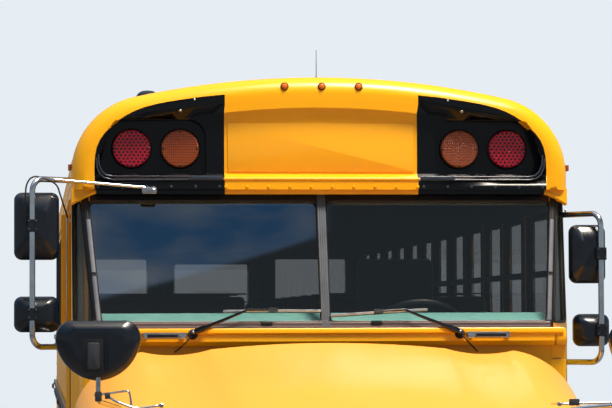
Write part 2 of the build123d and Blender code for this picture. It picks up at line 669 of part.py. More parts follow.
DOOR_MIDDLE = (DOOR_FRONT + DOOR_BACK) / 2
FRONT_LEAF = (DOOR_FRONT + DOOR_EDGE, DOOR_MIDDLE - DOOR_EDGE)
REAR_LEAF = (DOOR_MIDDLE + DOOR_EDGE, DOOR_BACK - DOOR_EDGE)

EXIT_LIGHTS = [(1180, 1560), (1760, 2400)]
EXIT_LEAF = 45


EXIT_HINGE_X, EXIT_HINGE_S = -396, END_BACK + 12
EXIT_KNUCKLES = (1250, 1800, 2300)


def exit_knuckles(side, low, high):
    """Knuckles of the emergency door's hinges, with their leaf on one side of the axis."""
    x, s = EXIT_HINGE_X, EXIT_HINGE_S
    for z in EXIT_KNUCKLES:
        barrel = rod((x, s, z + low), (x, s, z + high), 10)
        yield barrel + block((x, x + side * 44), (END_BACK, s), (z + low, z + high))


def emergency_door():
    leaf = block((-EXIT_HALF + DOOR_EDGE, EXIT_HALF - DOOR_EDGE), (END_BACK - EXIT_LEAF, END_BACK),
                 (FLOOR_Z + DOOR_EDGE, EXIT_HEAD - DOOR_EDGE))
    for low, high in EXIT_LIGHTS:
        leaf -= block((-300, 300), (END_BACK - 60, END_BACK + 10), (low, high))
    bore = rod((EXIT_HINGE_X, EXIT_HINGE_S, FLOOR_Z), (EXIT_HINGE_X, EXIT_HINGE_S, EXIT_HEAD), PIN_R + FIT)
    return fused([leaf] + list(exit_knuckles(1, 41, 80))) - bore


def emergency_glass():
    s = (END_BACK - 28, END_BACK - 28 + GLASS)
    return group(block((-300, 300), s, z) for z in EXIT_LIGHTS)


def stop_arm():
    """Octagonal sign on a hinge at its front edge, folded against the side."""
    x, s = STOP_HINGE
    across = 457
    octagon = RegularPolygon(across / 2, 8, major_radius=False, rotation=22.5)
    plate = side_plate(Pos(s + 40 + across / 2, STOP_Z) * octagon, x + 4, x + 14)
    arm = block((x - 4, x + 4), (s, s + 250), (STOP_Z - 70, STOP_Z + 70))
    barrel = rod((x, s, STOP_Z - 74), (x, s, STOP_Z + 74), 9)
    pin = rod((x, s, STOP_Z - 108), (x, s, STOP_Z + 108), PIN_R)
    return fused([plate, arm, barrel, pin])


# Bonnet sections, front to back. The X of the last four points is a distance inside the body's half width.
# Columns: station, crown Z, shoulder X and Z, valley X and Z, wing X and Z, bend X and Z, side X and Z.
BONNET_SECTIONS = [
    (200, 1372, 420, 1350, 629, 1310, 459, 1290, 209, 1240, 79, 1120),
    (450, 1545, 480, 1520, 559, 1470, 399, 1450, 139, 1385, 19, 1240),
    (900, 1702, 530, 1675, 504, 1632, 354, 1630, 127, 1548, 4, 1390),
    (1440, 1830, 560, 1802, 474, 1774, 329, 1790, 127, 1700, 14, 1540),
]


def bonnet_face(row, inset, low, station):
    _, crown, bx, bz, cx, cz, dx, dz, mx, mz, ex, ez = row
    cx, dx, mx, ex = (BODY_HALF - inside for inside in (cx, dx, mx, ex))
    b, c, d = (bx, bz - inset), (cx, cz - inset), (dx, dz - inset)
    m, e = (mx - 0.7 * inset, mz - 0.7 * inset), (ex - inset, ez)
    f = (ex - inset, low)

    def flip(p):
        return (-p[0], p[1])
    lines = [ThreePointArc(flip(b), (0, crown - inset), b), ThreePointArc(b, c, d), ThreePointArc(d, m, e),
             Line(e, f), Line(f, flip(f)), Line(flip(f), flip(e)),
             ThreePointArc(flip(e), flip(m), flip(d)), ThreePointArc(flip(d), flip(c), flip(b))]
    plane = Plane(origin=(0, at(station), 0), x_dir=(1, 0, 0), z_dir=(0, -1, 0))
    return plane * make_face(lines)


def bonnet_block(inset, low, front, back):
    """The bonnet's outside moved in by inset, solid, its end sections shifted by front and back."""
    rows = BONNET_SECTIONS
    stations = [rows[0][0] + front] + [row[0] for row in rows[1:-1]] + [rows[-1][0] + back]
    body = loft([bonnet_face(row, inset, low, s) for row, s in zip(rows, stations)])
    nose = [e for e in body.faces().sort_by(Axis.Y)[0].edges() if e.center().Z > low + 10]
    return fillet(nose, NOSE_ROUND - inset)


def bonnet():
    """The tilting front: bonnet, wings and nose in one shell, open below and behind."""
    rows = BONNET_SECTIONS
    outer = bonnet_block(0, BONNET_LOW, 0, 0)
    inner = bonnet_block(BONNET_SKIN, BONNET_LOW - 40, BONNET_SKIN, 5)
    edge = BODY_HALF - rows[-1][-2]
    tail = block((edge - BONNET_SKIN, edge), (rows[-1][0] - 20, BONNET_TAIL),
                 (BONNET_LOW, rows[-1][-1] - 40))
    shell = (outer - inner).fuse(*both_sides(tail))
    shell -= along_x(ARCH, (-FAR, FAR), FRONT_AXLE, AXLE_Z)
    shell -= block((-620, 620), (0, 400), (0, 862))
    shell -= block((-GRILLE_HALF, GRILLE_HALF), (150, 260), (GRILLE_LOW, GRILLE_TOP))
    for lamp in both_sides(headlamp_shape(-30, 60)):
        shell -= lamp
    eyes = []
    for x in (-300, 300):
        eye = block((x - 20, x + 20), (HINGE_S - 2, rows[0][0] + 20), (HINGE_Z + 5, 880))
        eye += along_x(30, (x - 20, x + 20), HINGE_S, HINGE_Z)
        eyes.append(eye - along_x(HINGE_R + FIT, (x - 30, x + 30), HINGE_S, HINGE_Z))
    return fused([shell] + eyes)


HEADLAMP = (BODY_HALF - 369, 1055, 230, 165)   # X and Z of the middle, width and height


def headlamp_shape(front, back):
    x, z, wide, tall = HEADLAMP
    s = BONNET_SECTIONS[0][0]
    return prism(Pos(x, z) * RectangleRounded(wide, tall, 30), s + front, s + back)


def headlamps():
    return group(both_sides(headlamp_shape(-6, BONNET_SKIN)))


def grille():
    """Surround, seven slats and a middle bar, set in the bonnet's nose."""
    s = BONNET_SECTIONS[0][0]
    frame = block((-GRILLE_HALF, GRILLE_HALF), (s - 10, s + 20), (GRILLE_LOW, GRILLE_TOP))
    half, low, high = GRILLE_HALF - 22, GRILLE_LOW + 22, GRILLE_TOP - 22
    frame -= block((-half, half), (s - 20, s + 40), (low, high))
    count = 7
    step = (high - low) / (count + 1)
    heights = [low + step * (i + 1) for i in range(count)]
    slats = [block((-half, half), (s, s + 14), (z - 9, z + 9)) for z in heights]
    bar = block((-12, 12), (s - 6, s + 18), (low, high))
    return fused([frame, bar] + slats)


# Chassis pieces

def frame_rails():
    span = (RAIL_FRONT, RAIL_BACK)

    def channel(side):
        web = block((side * (RAIL_OUT - RAIL_WEB), side * RAIL_OUT), span, (RAIL_LOW, RAIL_TOP))
        flanges = [block((side * (RAIL_OUT - RAIL_WIDE), side * RAIL_OUT), span, z)
                   for z in ((RAIL_LOW, RAIL_LOW + RAIL_WEB), (RAIL_TOP - RAIL_WEB, RAIL_TOP))]
        return [web] + flanges
    members = [block((-RAIL_OUT, RAIL_OUT), (s - 50, s + 50), (RAIL_TOP - 150, RAIL_TOP - RAIL_WEB))
               for s in (350, 1900, 3300, 4700, REAR_AXLE - 1030, REAR_AXLE + 1070, LENGTH - 300)]
    horns = [block((side * RAIL_OUT, side * (RAIL_OUT - 20)), (BUMPER_DEEP, RAIL_FRONT + 40), (560, 800))
             for side in (-1, 1)]
    pin = along_x(HINGE_R, (-RAIL_OUT, RAIL_OUT), HINGE_S, HINGE_Z)
    cheeks = [block((side * RAIL_OUT, side * (RAIL_OUT - 20)), (HINGE_S - 25, HINGE_S + 25),
                    (790, HINGE_Z + 22)) for side in (-1, 1)]
    return fused(channel(1) + channel(-1) + members + horns + [pin] + cheeks)


def bumpers():
    front = block((-BUMPER_HALF, BUMPER_HALF), (0, BUMPER_DEEP), (BUMPER_LOW, BUMPER_TOP))
    front = fillet(front.edges().filter_by(Axis.Z).sort_by(Axis.Y)[:2], 60)
    inner = (30 - BUMPER_HALF, BUMPER_HALF - 30)
    front -= block(inner, (12, BUMPER_DEEP + 5), (BUMPER_LOW + 12, BUMPER_TOP - 12))
    rear = block((-BUMPER_HALF, BUMPER_HALF), (END_BACK, LENGTH), (BUMPER_LOW, BUMPER_TOP - 40))
    rear = fillet(rear.edges().filter_by(Axis.Z).sort_by(Axis.Y)[-2:], 60)
    rear -= block(inner, (END_BACK - 5, LENGTH - 12), (BUMPER_LOW + 12, BUMPER_TOP - 52))
    tie = [block((side * RAIL_OUT, side * (RAIL_OUT - 20)), (RAIL_BACK, LENGTH - 12),
                 (RAIL_LOW - 60, BUMPER_TOP - 52)) for side in (-1, 1)]
    front_eyes = [tow_eye(side * TOW_X, BUMPER_DEEP / 2) for side in (-1, 1)]
    rear_eyes = [tow_eye(side * TOW_X, LENGTH - BUMPER_DEEP / 2) for side in (-1, 1)]
    return group([fused([front] + front_eyes), fused([rear] + tie + rear_eyes)])


TOW_X = 330
TOW_R = 22


def tow_eye(x, s):
    """Eye plate under a bumper."""
    plate = block((x - 12, x + 12), (s - 48, s + 48), (BUMPER_LOW - 90, BUMPER_LOW + 12))
    return plate - along_x(TOW_R, (x - 20, x + 20), s, BUMPER_LOW - 45)


def engine():
    """The engine with its gearbox as a plain block, and the radiator in front of it."""
    return group([engine_solid(), block((-RAIL_OUT, RAIL_OUT), (325, 400), (RAIL_TOP, 1340))])


def engine_solid():
    return block((-RAIL_OUT + RAIL_WIDE, RAIL_OUT - RAIL_WIDE), (560, 1480), (620, 1440))


def front_axle():
    def beside(half):
        return (FRONT_AXLE - half, FRONT_AXLE + half)
    beam = block((160 - KINGPIN_X, KINGPIN_X - 160), beside(45), (370, 470))
    ends = []
    for side in (-1, 1):
        pin = side * KINGPIN_X
        ends.append(block((pin - side * 220, pin - side * 50), beside(45), (370, 560)))
        ends.append(rod((pin, FRONT_AXLE, 460), (pin, FRONT_AXLE, 560), 50))
        ends.append(block((pin - side * 60, pin), beside(40), (460, 560)))
        ends.append(rod((pin, FRONT_AXLE, 395), (pin, FRONT_AXLE, 625), 20))
        ends.append(block((side * (RAIL_OUT - SPRING_WIDE), side * RAIL_OUT), beside(60),
                          (470, FRONT_PAD_Z)))
    return fused([beam] + ends)


def knuckle(side):
    """Fork round the axle's end, with the spindle that carries the wheel."""
    x = side * KINGPIN_X
    ears = [rod((x, FRONT_AXLE, z), (x, FRONT_AXLE, z + 50), 42) for z in (405, 565)]
    arms = [block((x, x + side * 75), (FRONT_AXLE - 40, FRONT_AXLE + 40), (z, z + 50)) for z in (405, 565)]
    web = block((x + side * 55, x + side * 75), (FRONT_AXLE - 60, FRONT_AXLE + 60), (405, 615))
    spindle = along_x(SPINDLE_R, (x + side * 60, side * (FRONT_WHEEL_X + 60)), FRONT_AXLE, AXLE_Z)
    fork = fused(ears + arms + [web, spindle])
    return fork - rod((x, FRONT_AXLE, 390), (x, FRONT_AXLE, 640), 20 + FIT)


SPRING_WIDE = 75
FRONT_PAD_Z, REAR_PAD_Z = 520, 585     # where the springs sit on the axles


def leaf_springs():
    """Leaf packs under the rails, each with its hangers and its seat on the axle."""
    packs = []
    for axle, half, dip, seat in ((FRONT_AXLE, 590, 575, FRONT_PAD_Z), (REAR_AXLE, 680, 640, REAR_PAD_Z)):
        for side in (-1, 1):
            x = (side * (RAIL_OUT - SPRING_WIDE), side * RAIL_OUT)
            ends, thick = 672, 44
            front, back = axle - half, axle + half
            low = ThreePointArc((front, ends - thick), (axle, dip - thick), (back, ends - thick))
            high = ThreePointArc((back, ends), (axle, dip), (front, ends))
            shut = [Line((back, ends - thick), (back, ends)), Line((front, ends), (front, ends - thick))]
            band = side_plate(make_face([low, shut[0], high, shut[1]]), min(x), max(x))
            hangers = [block(x, (end - 30, end + 30), (ends - 30, RAIL_LOW)) for end in (front, back)]
            saddle = block(x, (axle - 60, axle + 60), (seat, dip - thick + 8))
            packs.append(fused([band, saddle] + hangers))
    return group(packs)


def rear_axle():
    tube = along_x(AXLE_TUBE_R, (305 - REAR_WHEEL_X, REAR_WHEEL_X - 305), REAR_AXLE, AXLE_Z)
    spindle = along_x(45, (-REAR_WHEEL_X - 20, REAR_WHEEL_X + 20), REAR_AXLE, AXLE_Z)
    case = ring([(-150, 0), (-150, 90), (-70, 180), (70, 180), (150, 90), (150, 0)], 0, REAR_AXLE, AXLE_Z)
    neck = rod((0, REAR_AXLE - 330, AXLE_Z + 20), (0, REAR_AXLE, AXLE_Z), 85)
    pads = [block((side * (RAIL_OUT - SPRING_WIDE), side * RAIL_OUT), (REAR_AXLE - 60, REAR_AXLE + 60),
                  (AXLE_Z, REAR_PAD_Z)) for side in (-1, 1)]
    return fused([tube, spindle, case, neck] + pads)


def drive_shaft():
    front = rod((0, 1450, 720), (0, 4300, 660), 50)
    rear = rod((0, 4300, 660), (0, REAR_AXLE - 330, AXLE_Z + 20), 50)
    bearing = block((RAIL_WEB - RAIL_OUT, RAIL_OUT - RAIL_WEB), (4270, 4330),
                    (RAIL_LOW + RAIL_WEB, RAIL_LOW + 50))
    carrier = block((-70, 70), (4270, 4330), (600, RAIL_LOW + 50))
    return fused([front, rear, bearing, carrier]) - engine_solid() - rear_axle()


def fuel_tank():
    tank = block((139 - BODY_HALF, -RAIL_OUT - 88), (3500, 4800), (420, 900))
    tank = fillet(tank.edges().filter_by(Axis.Y), 60)
    straps = [block((133 - BODY_HALF, -RAIL_OUT), (s - 25, s + 25), (900, 945)) for s in (3800, 4500)]
    hangers = [block((-700, -600), (s - 25, s + 25), (890, 905)) for s in (3800, 4500)]
    return fused([tank] + straps + hangers)


def exhaust():
    pipe = rod((545, 1700, 655), (545, END_BACK - 20, 655), 42)
    muffler = rod((560, 4900, 655), (560, 5900, 655), 125)
    hangers = [block((RAIL_OUT, 560), (s - 15, s + 15), (640, RAIL_TOP - 60))
               for s in (1800, 4850, REAR_AXLE - 1130, LENGTH - 1800, LENGTH - 400)]
    return fused([pipe, muffler] + hangers)


# Lamps

def lamp_discs(places):
    """Round lamps standing out of a wall. A place is X, Z, radius, base station and direction."""
    discs = []
    for x, z, radius, s, out in places:
        disc = rod((x, s, z), (x, s + out * LAMP_TALL, z), radius)
        discs.append(fillet(disc.faces().sort_by(Axis.Y)[-1 if out > 0 else 0].edges(), 8))
    return group(discs)


POCKET_BACK = CAP_FRONT + SIGN_DEEP + POCKET_DEEP
TAIL_X, TAIL_R = BODY_HALF - 219, 89


def red_lamps():
    places = [(side * RED_X, LAMP_Z, LAMP_R, POCKET_BACK, -1) for side in (-1, 1)]
    places += [(side * RED_X, LAMP_Z, LAMP_R, END_BACK, 1) for side in (-1, 1)]
    places += [(side * TAIL_X, 1560, TAIL_R, END_BACK, 1) for side in (-1, 1)]
    return lamp_discs(places)


def marker_lamps():
    """Three small domed lamps on the brow and one lamp on each corner of the cap and of the rear end."""
    cap = front_cap_body()
    dome = rod((0, CAP_FRONT - 10, MARKER_Z), (0, CAP_FRONT + 30, MARKER_Z), MARKER_R)
    dome = fillet(dome.faces().sort_by(Axis.Y)[0].edges(), MARKER_R - 4)
    lamps = [Pos(x, 0, 0) * dome - cap for x in (-MARKER_GAP, 0, MARKER_GAP)]
    corners = [block((BODY_HALF - 30, BODY_HALF + 14), (s - 34, s + 34), (2672, 2700))
               for s in (CAP_FRONT + 110, END_FRONT - 40)]
    for corner in corners:
        lamps += both_sides(corner - prism(body_section(-FIT, HEADER_Z), 0, LENGTH))
    return lamps


def amber_lamps():
    places = [(side * AMBER_X, LAMP_Z, LAMP_R, POCKET_BACK, -1) for side in (-1, 1)]
    places += [(side * AMBER_X, LAMP_Z, LAMP_R, END_BACK, 1) for side in (-1, 1)]
    places += [(side * TAIL_X, 1350, TAIL_R, END_BACK, 1) for side in (-1, 1)]
    return group([lamp_discs(places)] + marker_lamps())


def grab_handles():
    """A bar on two feet at each side of the shelf below the windscreen."""
    bar = along_x(10, (GRAB_IN, GRAB_OUT), SHELF_MIDDLE - 34, GRAB_Z)
    feet = [block((x, x + 22), (SHELF_MIDDLE - 34, SHELF_MIDDLE + 20), (GRAB_Z - 10, GRAB_Z + 10))
            for x in (GRAB_IN, GRAB_OUT - 22)]
    return group(both_sides(fused([bar] + feet) - shelf_solid()))


GRAB_IN, GRAB_OUT, GRAB_Z = 675, 882, NOSE_SILL - 34
SHELF_MIDDLE = NOSE_LOW - SHELF[1][0]    # station of the shelf's front face at the handles

# Mirrors
TUBE_R = 14
MIRROR_S = NOSE_LOW + 40
# Columns: side, how far the upright stands outside the body, Z of both arms, station of the upper foot
MIRROR_TUBES = [(-1, 187, 2620, 1815, CORNER_BACK - 10), (1, 133, 2455, 1730, CORNER_BACK + 60)]
# Columns: side, how far the middle stands outside the body, Z of the middle, width and height
MIRROR_HEADS = [(-1, 167, 2395, 216, 324), (-1, 167, 1971, 216, 172),
                (1, 81, 2258, 176, 286), (1, 98, 1886, 176, 158)]
MIRROR_DEEP = 92


def tube_path(points, bend, radius):
    """A round tube along straight runs with rounded bends. A point is X, station and Z."""
    spots = [(x, at(s), z) for x, s, z in points]
    path = FilletPolyline(*spots, radius=bend)
    start = Plane(origin=path @ 0, z_dir=path % 0)
    return sweep(start * Circle(radius), path=path)


def front_envelope():
    """What the cap, the windscreen wall and the cowl fill, with a fit's clearance."""
    cap = prism(body_section(-FIT, HEADER_Z - FIT), CAP_FRONT - FIT, ROOF_FRONT)
    nose = [nose_solid(-FIT, low, high, WALL_FRONT)
            for low, high in ((NOSE_SILL, HEADER_Z), (FLOOR_Z, NOSE_SILL))]
    return [cap, *both_sides(cap_ear())] + nose


def mirror_tubes():
    tubes = []
    root = BODY_HALF - 39
    for side, out, high, low, foot in MIRROR_TUBES:
        x, inner = side * (BODY_HALF + out), side * root
        tubes.append(tube_path([(inner, foot, high), (x, MIRROR_S, high), (x, MIRROR_S, low),
                                (inner, CORNER_BACK - 10, low)], 60, TUBE_R))
    stay_foot = (409 - BODY_HALF, CAP_FRONT + 10, HEADER_Z + 5)
    tubes[0] += rod(stay_foot, (-BODY_HALF - 81, CAP_FRONT - 31, MIRROR_TUBES[0][2]), 8)
    return group(tube - front_envelope() for tube in tubes)


def mirror_heads():
    """Four mirrors with faceted backs, each with the clamp that holds it on its upright."""
    uprights = {side: side * (BODY_HALF + out) for side, out, _, _, _ in MIRROR_TUBES}
    heads = []
    for side, out, z, wide, tall in MIRROR_HEADS:
        x, s = side * (BODY_HALF + out), MIRROR_S + TUBE_R + FIT
        post = uprights[side]
        clamp = block((post - 24, post + 24), (MIRROR_S - TUBE_R - 8, s + 40), (z - 30, z + 30))
        clamp -= rod((post, MIRROR_S, z - 40), (post, MIRROR_S, z + 40), TUBE_R + FIT)
        rings = []
        for deep, share, corner in ((0, 0.42, 18), (34, 0.9, 34), (58, 1, 38)):
            face = Pos(x, z) * RectangleRounded(wide * share, tall * share, corner)
            rings.append(Plane(origin=(0, at(s + deep), 0)) * face_upright(face))
        rim = prism(Pos(x, z) * RectangleRounded(wide, tall, 38), s + 58, s + MIRROR_DEEP)
        heads.append(fused([loft(rings[:2], ruled=True), loft(rings[1:], ruled=True), rim, clamp]))
    return group(heads)


# Columns: side, how far inside the body the head's middle is, its station and Z
CROSSOVERS = [(-1, 101, 380, 1807), (1, -132, 420, 1790)]
CROSS_HALF, CROSS_TALL, CROSS_DEEP = 188, 265, 70
CROSS_FOOT = (BODY_HALF - 209, 640)      # X and station of the foot on the wing
CROSS_STEM, CROSS_DROP = 220, 260        # how far below the head's middle the stem and the arm end


def crossover_face(share):
    """A flat-topped oval, a share of its full size."""
    half, up, down = CROSS_HALF * share, CROSS_TALL / 2 * share, -CROSS_TALL / 2 * share
    corner = half - 62 * share
    wide = up - 84 * share
    return make_face([
        Line((-corner, up), (corner, up)),
        ThreePointArc((corner, up), (half - 17 * share, up - 28 * share), (half, wide)),
        ThreePointArc((half, wide), (half * 0.76, wide * 0.4 + down * 0.6), (0, down)),
        ThreePointArc((0, down), (-half * 0.76, wide * 0.4 + down * 0.6), (-half, wide)),
        ThreePointArc((-half, wide), (17 * share - half, up - 28 * share), (-corner, up))])


def crossover_heads():
    heads = []
    for side, inside, s, z in CROSSOVERS:
        x = side * (BODY_HALF - inside)
        rings = [Plane(origin=(0, at(s + deep), 0)) * face_upright(Pos(x, z) * crossover_face(share))
                 for deep, share in ((0, 0.6), (14, 0.84), (38, 0.98), (CROSS_DEEP, 1))]
        heads.append(fused([loft(pair, ruled=True) for pair in zip(rings, rings[1:])]))
    return group(heads)


def crossover_tubes():
    tubes = []
    heads = crossover_heads()
    wing = bonnet_block(-FIT, BONNET_LOW, 0, 0)
    for side, inside, s, z in CROSSOVERS:
        x = side * (BODY_HALF - inside)
        foot_x, foot_s = side * CROSS_FOOT[0], CROSS_FOOT[1]
        arm = tube_path([(x, s + 30, z - CROSS_TALL / 2 + 20), (x, s + 30, z - CROSS_STEM),
                         (foot_x, foot_s, z - CROSS_DROP), (foot_x, foot_s, 1380)], 30, 11)
        tubes.append(arm - heads - wing)
    return group(tubes)


# Wipers, on the windscreen's plane: X of the pivot and its height up the plane from the sill
WIPER_X, WIPER_RISE = 643, -40
WIPER_SHAFT_R = 11
BLADE_X, BLADE_RISE, BLADE_LONG = 268, 78, 480


def wiper_plane():
    """The flat windscreen wall's plane, its origin at the middle of the sill."""
    return Plane(origin=(0, at(NOSE_LOW), NOSE_SILL), x_dir=(1, 0, 0),
                 z_dir=(0, -(HEADER_Z - NOSE_SILL), NOSE_HIGH - NOSE_LOW))


def wiper(side):
    """Arm and blade parked along the foot of the windscreen."""
    x, tip_x = side * WIPER_X, side * BLADE_X
    shaft = Pos(x, WIPER_RISE, 15) * Cylinder(WIPER_SHAFT_R, 70)
    boss = Pos(x, WIPER_RISE, 52) * Cylinder(22, 16)
    length = math.hypot(x - tip_x, WIPER_RISE - BLADE_RISE)
    angle = math.degrees(math.atan2(BLADE_RISE - WIPER_RISE, tip_x - x))
    arm = Pos(x, WIPER_RISE, 52) * Rot(0, 0, angle) * Pos(length / 2, 0, 0) * Box(length, 16, 10)
    blade = Pos(tip_x, BLADE_RISE, 20) * Box(BLADE_LONG, 14, 22)
    stem = Pos(tip_x, BLADE_RISE, 40) * Box(40, 14, 28)
    return wiper_plane() * fused([shaft, boss, arm, blade, stem])


# Wheels

def ring(points, x, s, z):
    """A solid of revolution about X. A point is the distance along X and the radius."""
    profile = outline(*points)
    return Pos(x, at(s), z) * revolve(profile, Axis.X)


def tyre(x, s):
    w, r = TYRE_HALF, TYRE_R
    bead = BEAD_HALF - FIT
    points = [(-bead, BEAD_R + FIT), (-bead, BEAD_R + 22), (-w + 6, BEAD_R + 59), (-w, r - 110),
              (-w + 6, r - 55), (-w + 22, r - 14), (-w + 38, r)]
    return ring(points + [(-p, q) for p, q in reversed(points)], x, s, AXLE_Z)


def rim(x, s, out, disc):
    """A rim with its dished disc, whose flat part lies disc outwards of the rim's middle."""
    low, lip = BEAD_R - 22, BEAD_R + 16
    barrel = [(-112, low), (-112, lip), (-BEAD_HALF, lip), (-BEAD_HALF, BEAD_R),
              (BEAD_HALF, BEAD_R), (BEAD_HALF, lip), (112, lip), (112, low)]
    root, skew = 88, 14 if disc > 0 else -14
    dish = 232
    plate = [(disc - 7, 60), (disc - 7, dish - skew / 2), (root, low + 8), (root + 16, low + 8),
             (disc + 7, dish + skew / 2), (disc + 7, 60)]
    shape = fused(ring([(out * p, q) for p, q in profile], x, s, AXLE_Z) for profile in (barrel, plate))
    for i in range(10):
        turn = math.radians(36 * i + 18)
        y, z = s + 205 * math.cos(turn), AXLE_Z + 205 * math.sin(turn)
        centre = x + out * disc
        shape -= along_x(24, (centre - 12, centre + 12), y, z)
    return shape


def hub(x, s, out, low, high, radius, bore, bore_end):
    """Hub and its cap along the wheel's axis, bored for the spindle from its inner end."""
    profile = [(low, 0), (low, radius), (high - 40, radius), (high, radius * 0.62), (high, 0)]
    body = ring([(out * p, q) for p, q in profile], x, s, AXLE_Z)
    return body - along_x(bore, (x + out * (low - 5), x + out * bore_end), s, AXLE_Z)


def front_rim(side):
    x = side * FRONT_WHEEL_X
    centre = hub(x, FRONT_AXLE, side, -28, 178, 105, SPINDLE_R + FIT, 62)
    return fused([rim(x, FRONT_AXLE, side, 118), centre])


def rear_tyres(side):
    return group(tyre(side * (REAR_WHEEL_X + e * TWIN_GAP / 2), REAR_AXLE) for e in (-1, 1))


def rear_rims(side):
    x = side * REAR_WHEEL_X
    offset = TWIN_GAP / 2
    inner = rim(side * (REAR_WHEEL_X - offset), REAR_AXLE, side, offset - 7)
    outer = rim(side * (REAR_WHEEL_X + offset), REAR_AXLE, -side, offset - 7)
    centre = hub(x, REAR_AXLE, side, -150, 210, 115, 45 + FIT, 22)
    return fused([inner, outer, centre])


NODES = {
    "bumpers": bumpers,
    "frame_rails": frame_rails,
    "engine": engine,
    "front_axle": front_axle,
    "leaf_springs": leaf_springs,
    "rear_axle": rear_axle,
    "drive_shaft": drive_shaft,
    "fuel_tank": fuel_tank,
    "exhaust": exhaust,
    "floor": floor,
    "left_wall": left_wall,
    "right_wall": right_wall,
    "roof": roof,
    "roof_fittings": roof_fittings,
    "front_cap": front_cap,
    "windscreen_frame": windscreen_frame,
    "cowl": cowl,
    "rear_wall": rear_wall,
    "body_glass": body_glass,
    "window_sashes": window_sashes,
    "wheel_housings": wheel_housings,
    "step_well": step_well,
    "seat_pads": seat_pads,
    "seat_frames": seat_frames,
    "driver_seat": driver_seat,
    "dashboard": dashboard,
    "grab_handles": grab_handles,
    "mirror_tubes": mirror_tubes,
    "mirror_heads": mirror_heads,
    "red_lamps": red_lamps,
    "amber_lamps": amber_lamps,
    "rub_rails": rub_rails,
    "steering_wheel": steering_wheel,
    "bonnet": bonnet,
    "grille": grille,
    "headlamps": headlamps,
    "crossover_tubes": crossover_tubes,
    "crossover_heads": crossover_heads,
    "knuckle_left": lambda: knuckle(1),
    "knuckle_right": lambda: knuckle(-1),
    "tyre_front_left": lambda: tyre(FRONT_WHEEL_X, FRONT_AXLE),
    "tyre_front_right": lambda: tyre(-FRONT_WHEEL_X, FRONT_AXLE),
    "rim_front_left": lambda: front_rim(1),
    "rim_front_right": lambda: front_rim(-1),
    "tyres_rear_left": lambda: rear_tyres(1),
    "tyres_rear_right": lambda: rear_tyres(-1),
    "rims_rear_left": lambda: rear_rims(1),
    "rims_rear_right": lambda: rear_rims(-1),
    "wiper_left": lambda: wiper(1),
    "wiper_right": lambda: wiper(-1),
    "stop_arm": stop_arm,
    "roof_hatch_front": lambda: roof_hatch(HATCH_STATIONS[0]),
    "roof_hatch_rear": lambda: roof_hatch(HATCH_STATIONS[1]),
    "door_leaf_front": lambda: door_leaf(*FRONT_LEAF, FRONT_LEAF[0]),
    "door_leaf_rear": lambda: door_leaf(*REAR_LEAF, REAR_LEAF[1]),
    "door_glass_front": lambda: leaf_glass(*FRONT_LEAF),
    "door_glass_rear": lambda: leaf_glass(*REAR_LEAF),
    "emergency_door": emergency_door,
    "emergency_glass": emergency_glass,
}

if __name__ == "__main__":
    os.makedirs("parts", exist_ok=True)
    for name, make in NODES.items():
        export_step(make(), f"parts/{name}.step")
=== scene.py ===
import bpy
import bmesh
import json
import math
from mathutils import Matrix, Vector


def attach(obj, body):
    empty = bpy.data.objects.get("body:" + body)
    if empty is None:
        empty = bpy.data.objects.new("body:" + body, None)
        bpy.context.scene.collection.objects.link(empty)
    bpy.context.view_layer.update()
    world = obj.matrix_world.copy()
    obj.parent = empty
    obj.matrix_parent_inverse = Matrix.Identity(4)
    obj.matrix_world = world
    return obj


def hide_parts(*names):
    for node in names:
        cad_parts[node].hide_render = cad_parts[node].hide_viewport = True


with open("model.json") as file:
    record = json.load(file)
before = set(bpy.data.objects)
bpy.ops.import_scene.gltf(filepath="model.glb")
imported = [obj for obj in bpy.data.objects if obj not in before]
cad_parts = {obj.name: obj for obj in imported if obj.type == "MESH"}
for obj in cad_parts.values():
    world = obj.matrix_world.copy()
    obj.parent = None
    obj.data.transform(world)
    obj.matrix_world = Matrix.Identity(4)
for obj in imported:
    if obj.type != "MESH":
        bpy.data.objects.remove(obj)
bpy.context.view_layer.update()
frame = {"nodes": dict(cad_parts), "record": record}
nodes = frame["nodes"]
body_of = {node: body for body, members in frame["record"]["behaviour"]["bodies"].items() for node in members}

# The bus is laid out in millimetres. A station is the distance behind the front bumper's face.
LENGTH = 10700
BODY_HALF = 1219
ROOF_TOP, SPRING_Z, ROOF_CORNER, HEADER_Z = 3130, 2650, 390, 2575
CAP_FRONT, ROOF_FRONT = 1720, 1990
NOSE_LOW, NOSE_HIGH, NOSE_SILL = 1560, 1800, 1900
NOSE_HALF_LOW, NOSE_HALF_HIGH = 1100, 1165
CORNER_BACK, CORNER_BACK_HIGH = 1800, 1909     # where the chamfered corners meet the sides, low and high
WALL_FRONT, END_FRONT, END_BACK = 1950, 10480, 10600
CABIN_FRONT, CAP_LINING, SCREEN_END = 1600, 1856, 1920     # where linings and the front's panes begin or end
SKIN = 12            # a face deeper than this under the outside belongs to the lining
SIGN_S, POCKET_S, FLANGE_S, FLANGE_Z = 1775, 1820, 1738, 2563
LAMP_Z, RED_X, AMBER_X, LAMP_R, LAMP_TALL = 2778, 926, 688, 93, 28
WINDOW_START, WINDOW_PITCH, WINDOW_WIDE, WINDOWS = 2840, 695, 615, 11
SILL_Z, HEAD_Z = 1840, 2480
BOW_LEAD = 40        # a roof bow's middle is this far ahead of a window
DRIVER_WINDOW = (2060, 2720)
AXLE_Z, TYRE_R, TYRE_HALF, BEAD_R = 510, 510, 127, 286
FRONT_AXLE, REAR_AXLE, ARCH_R = 980, 7430, 640
FRONT_WHEEL_X, REAR_WHEEL_X, TWIN_GAP = 1030, 915, 330
FLOOR_Z = 1070
SEAM_Z = 1747        # seam in the corner panels below the shelf
LEFT, RIGHT, AHEAD, BACK, UP = (1, 0, 0), (-1, 0, 0), (0, -1, 0), (0, 1, 0), (0, 0, 1)


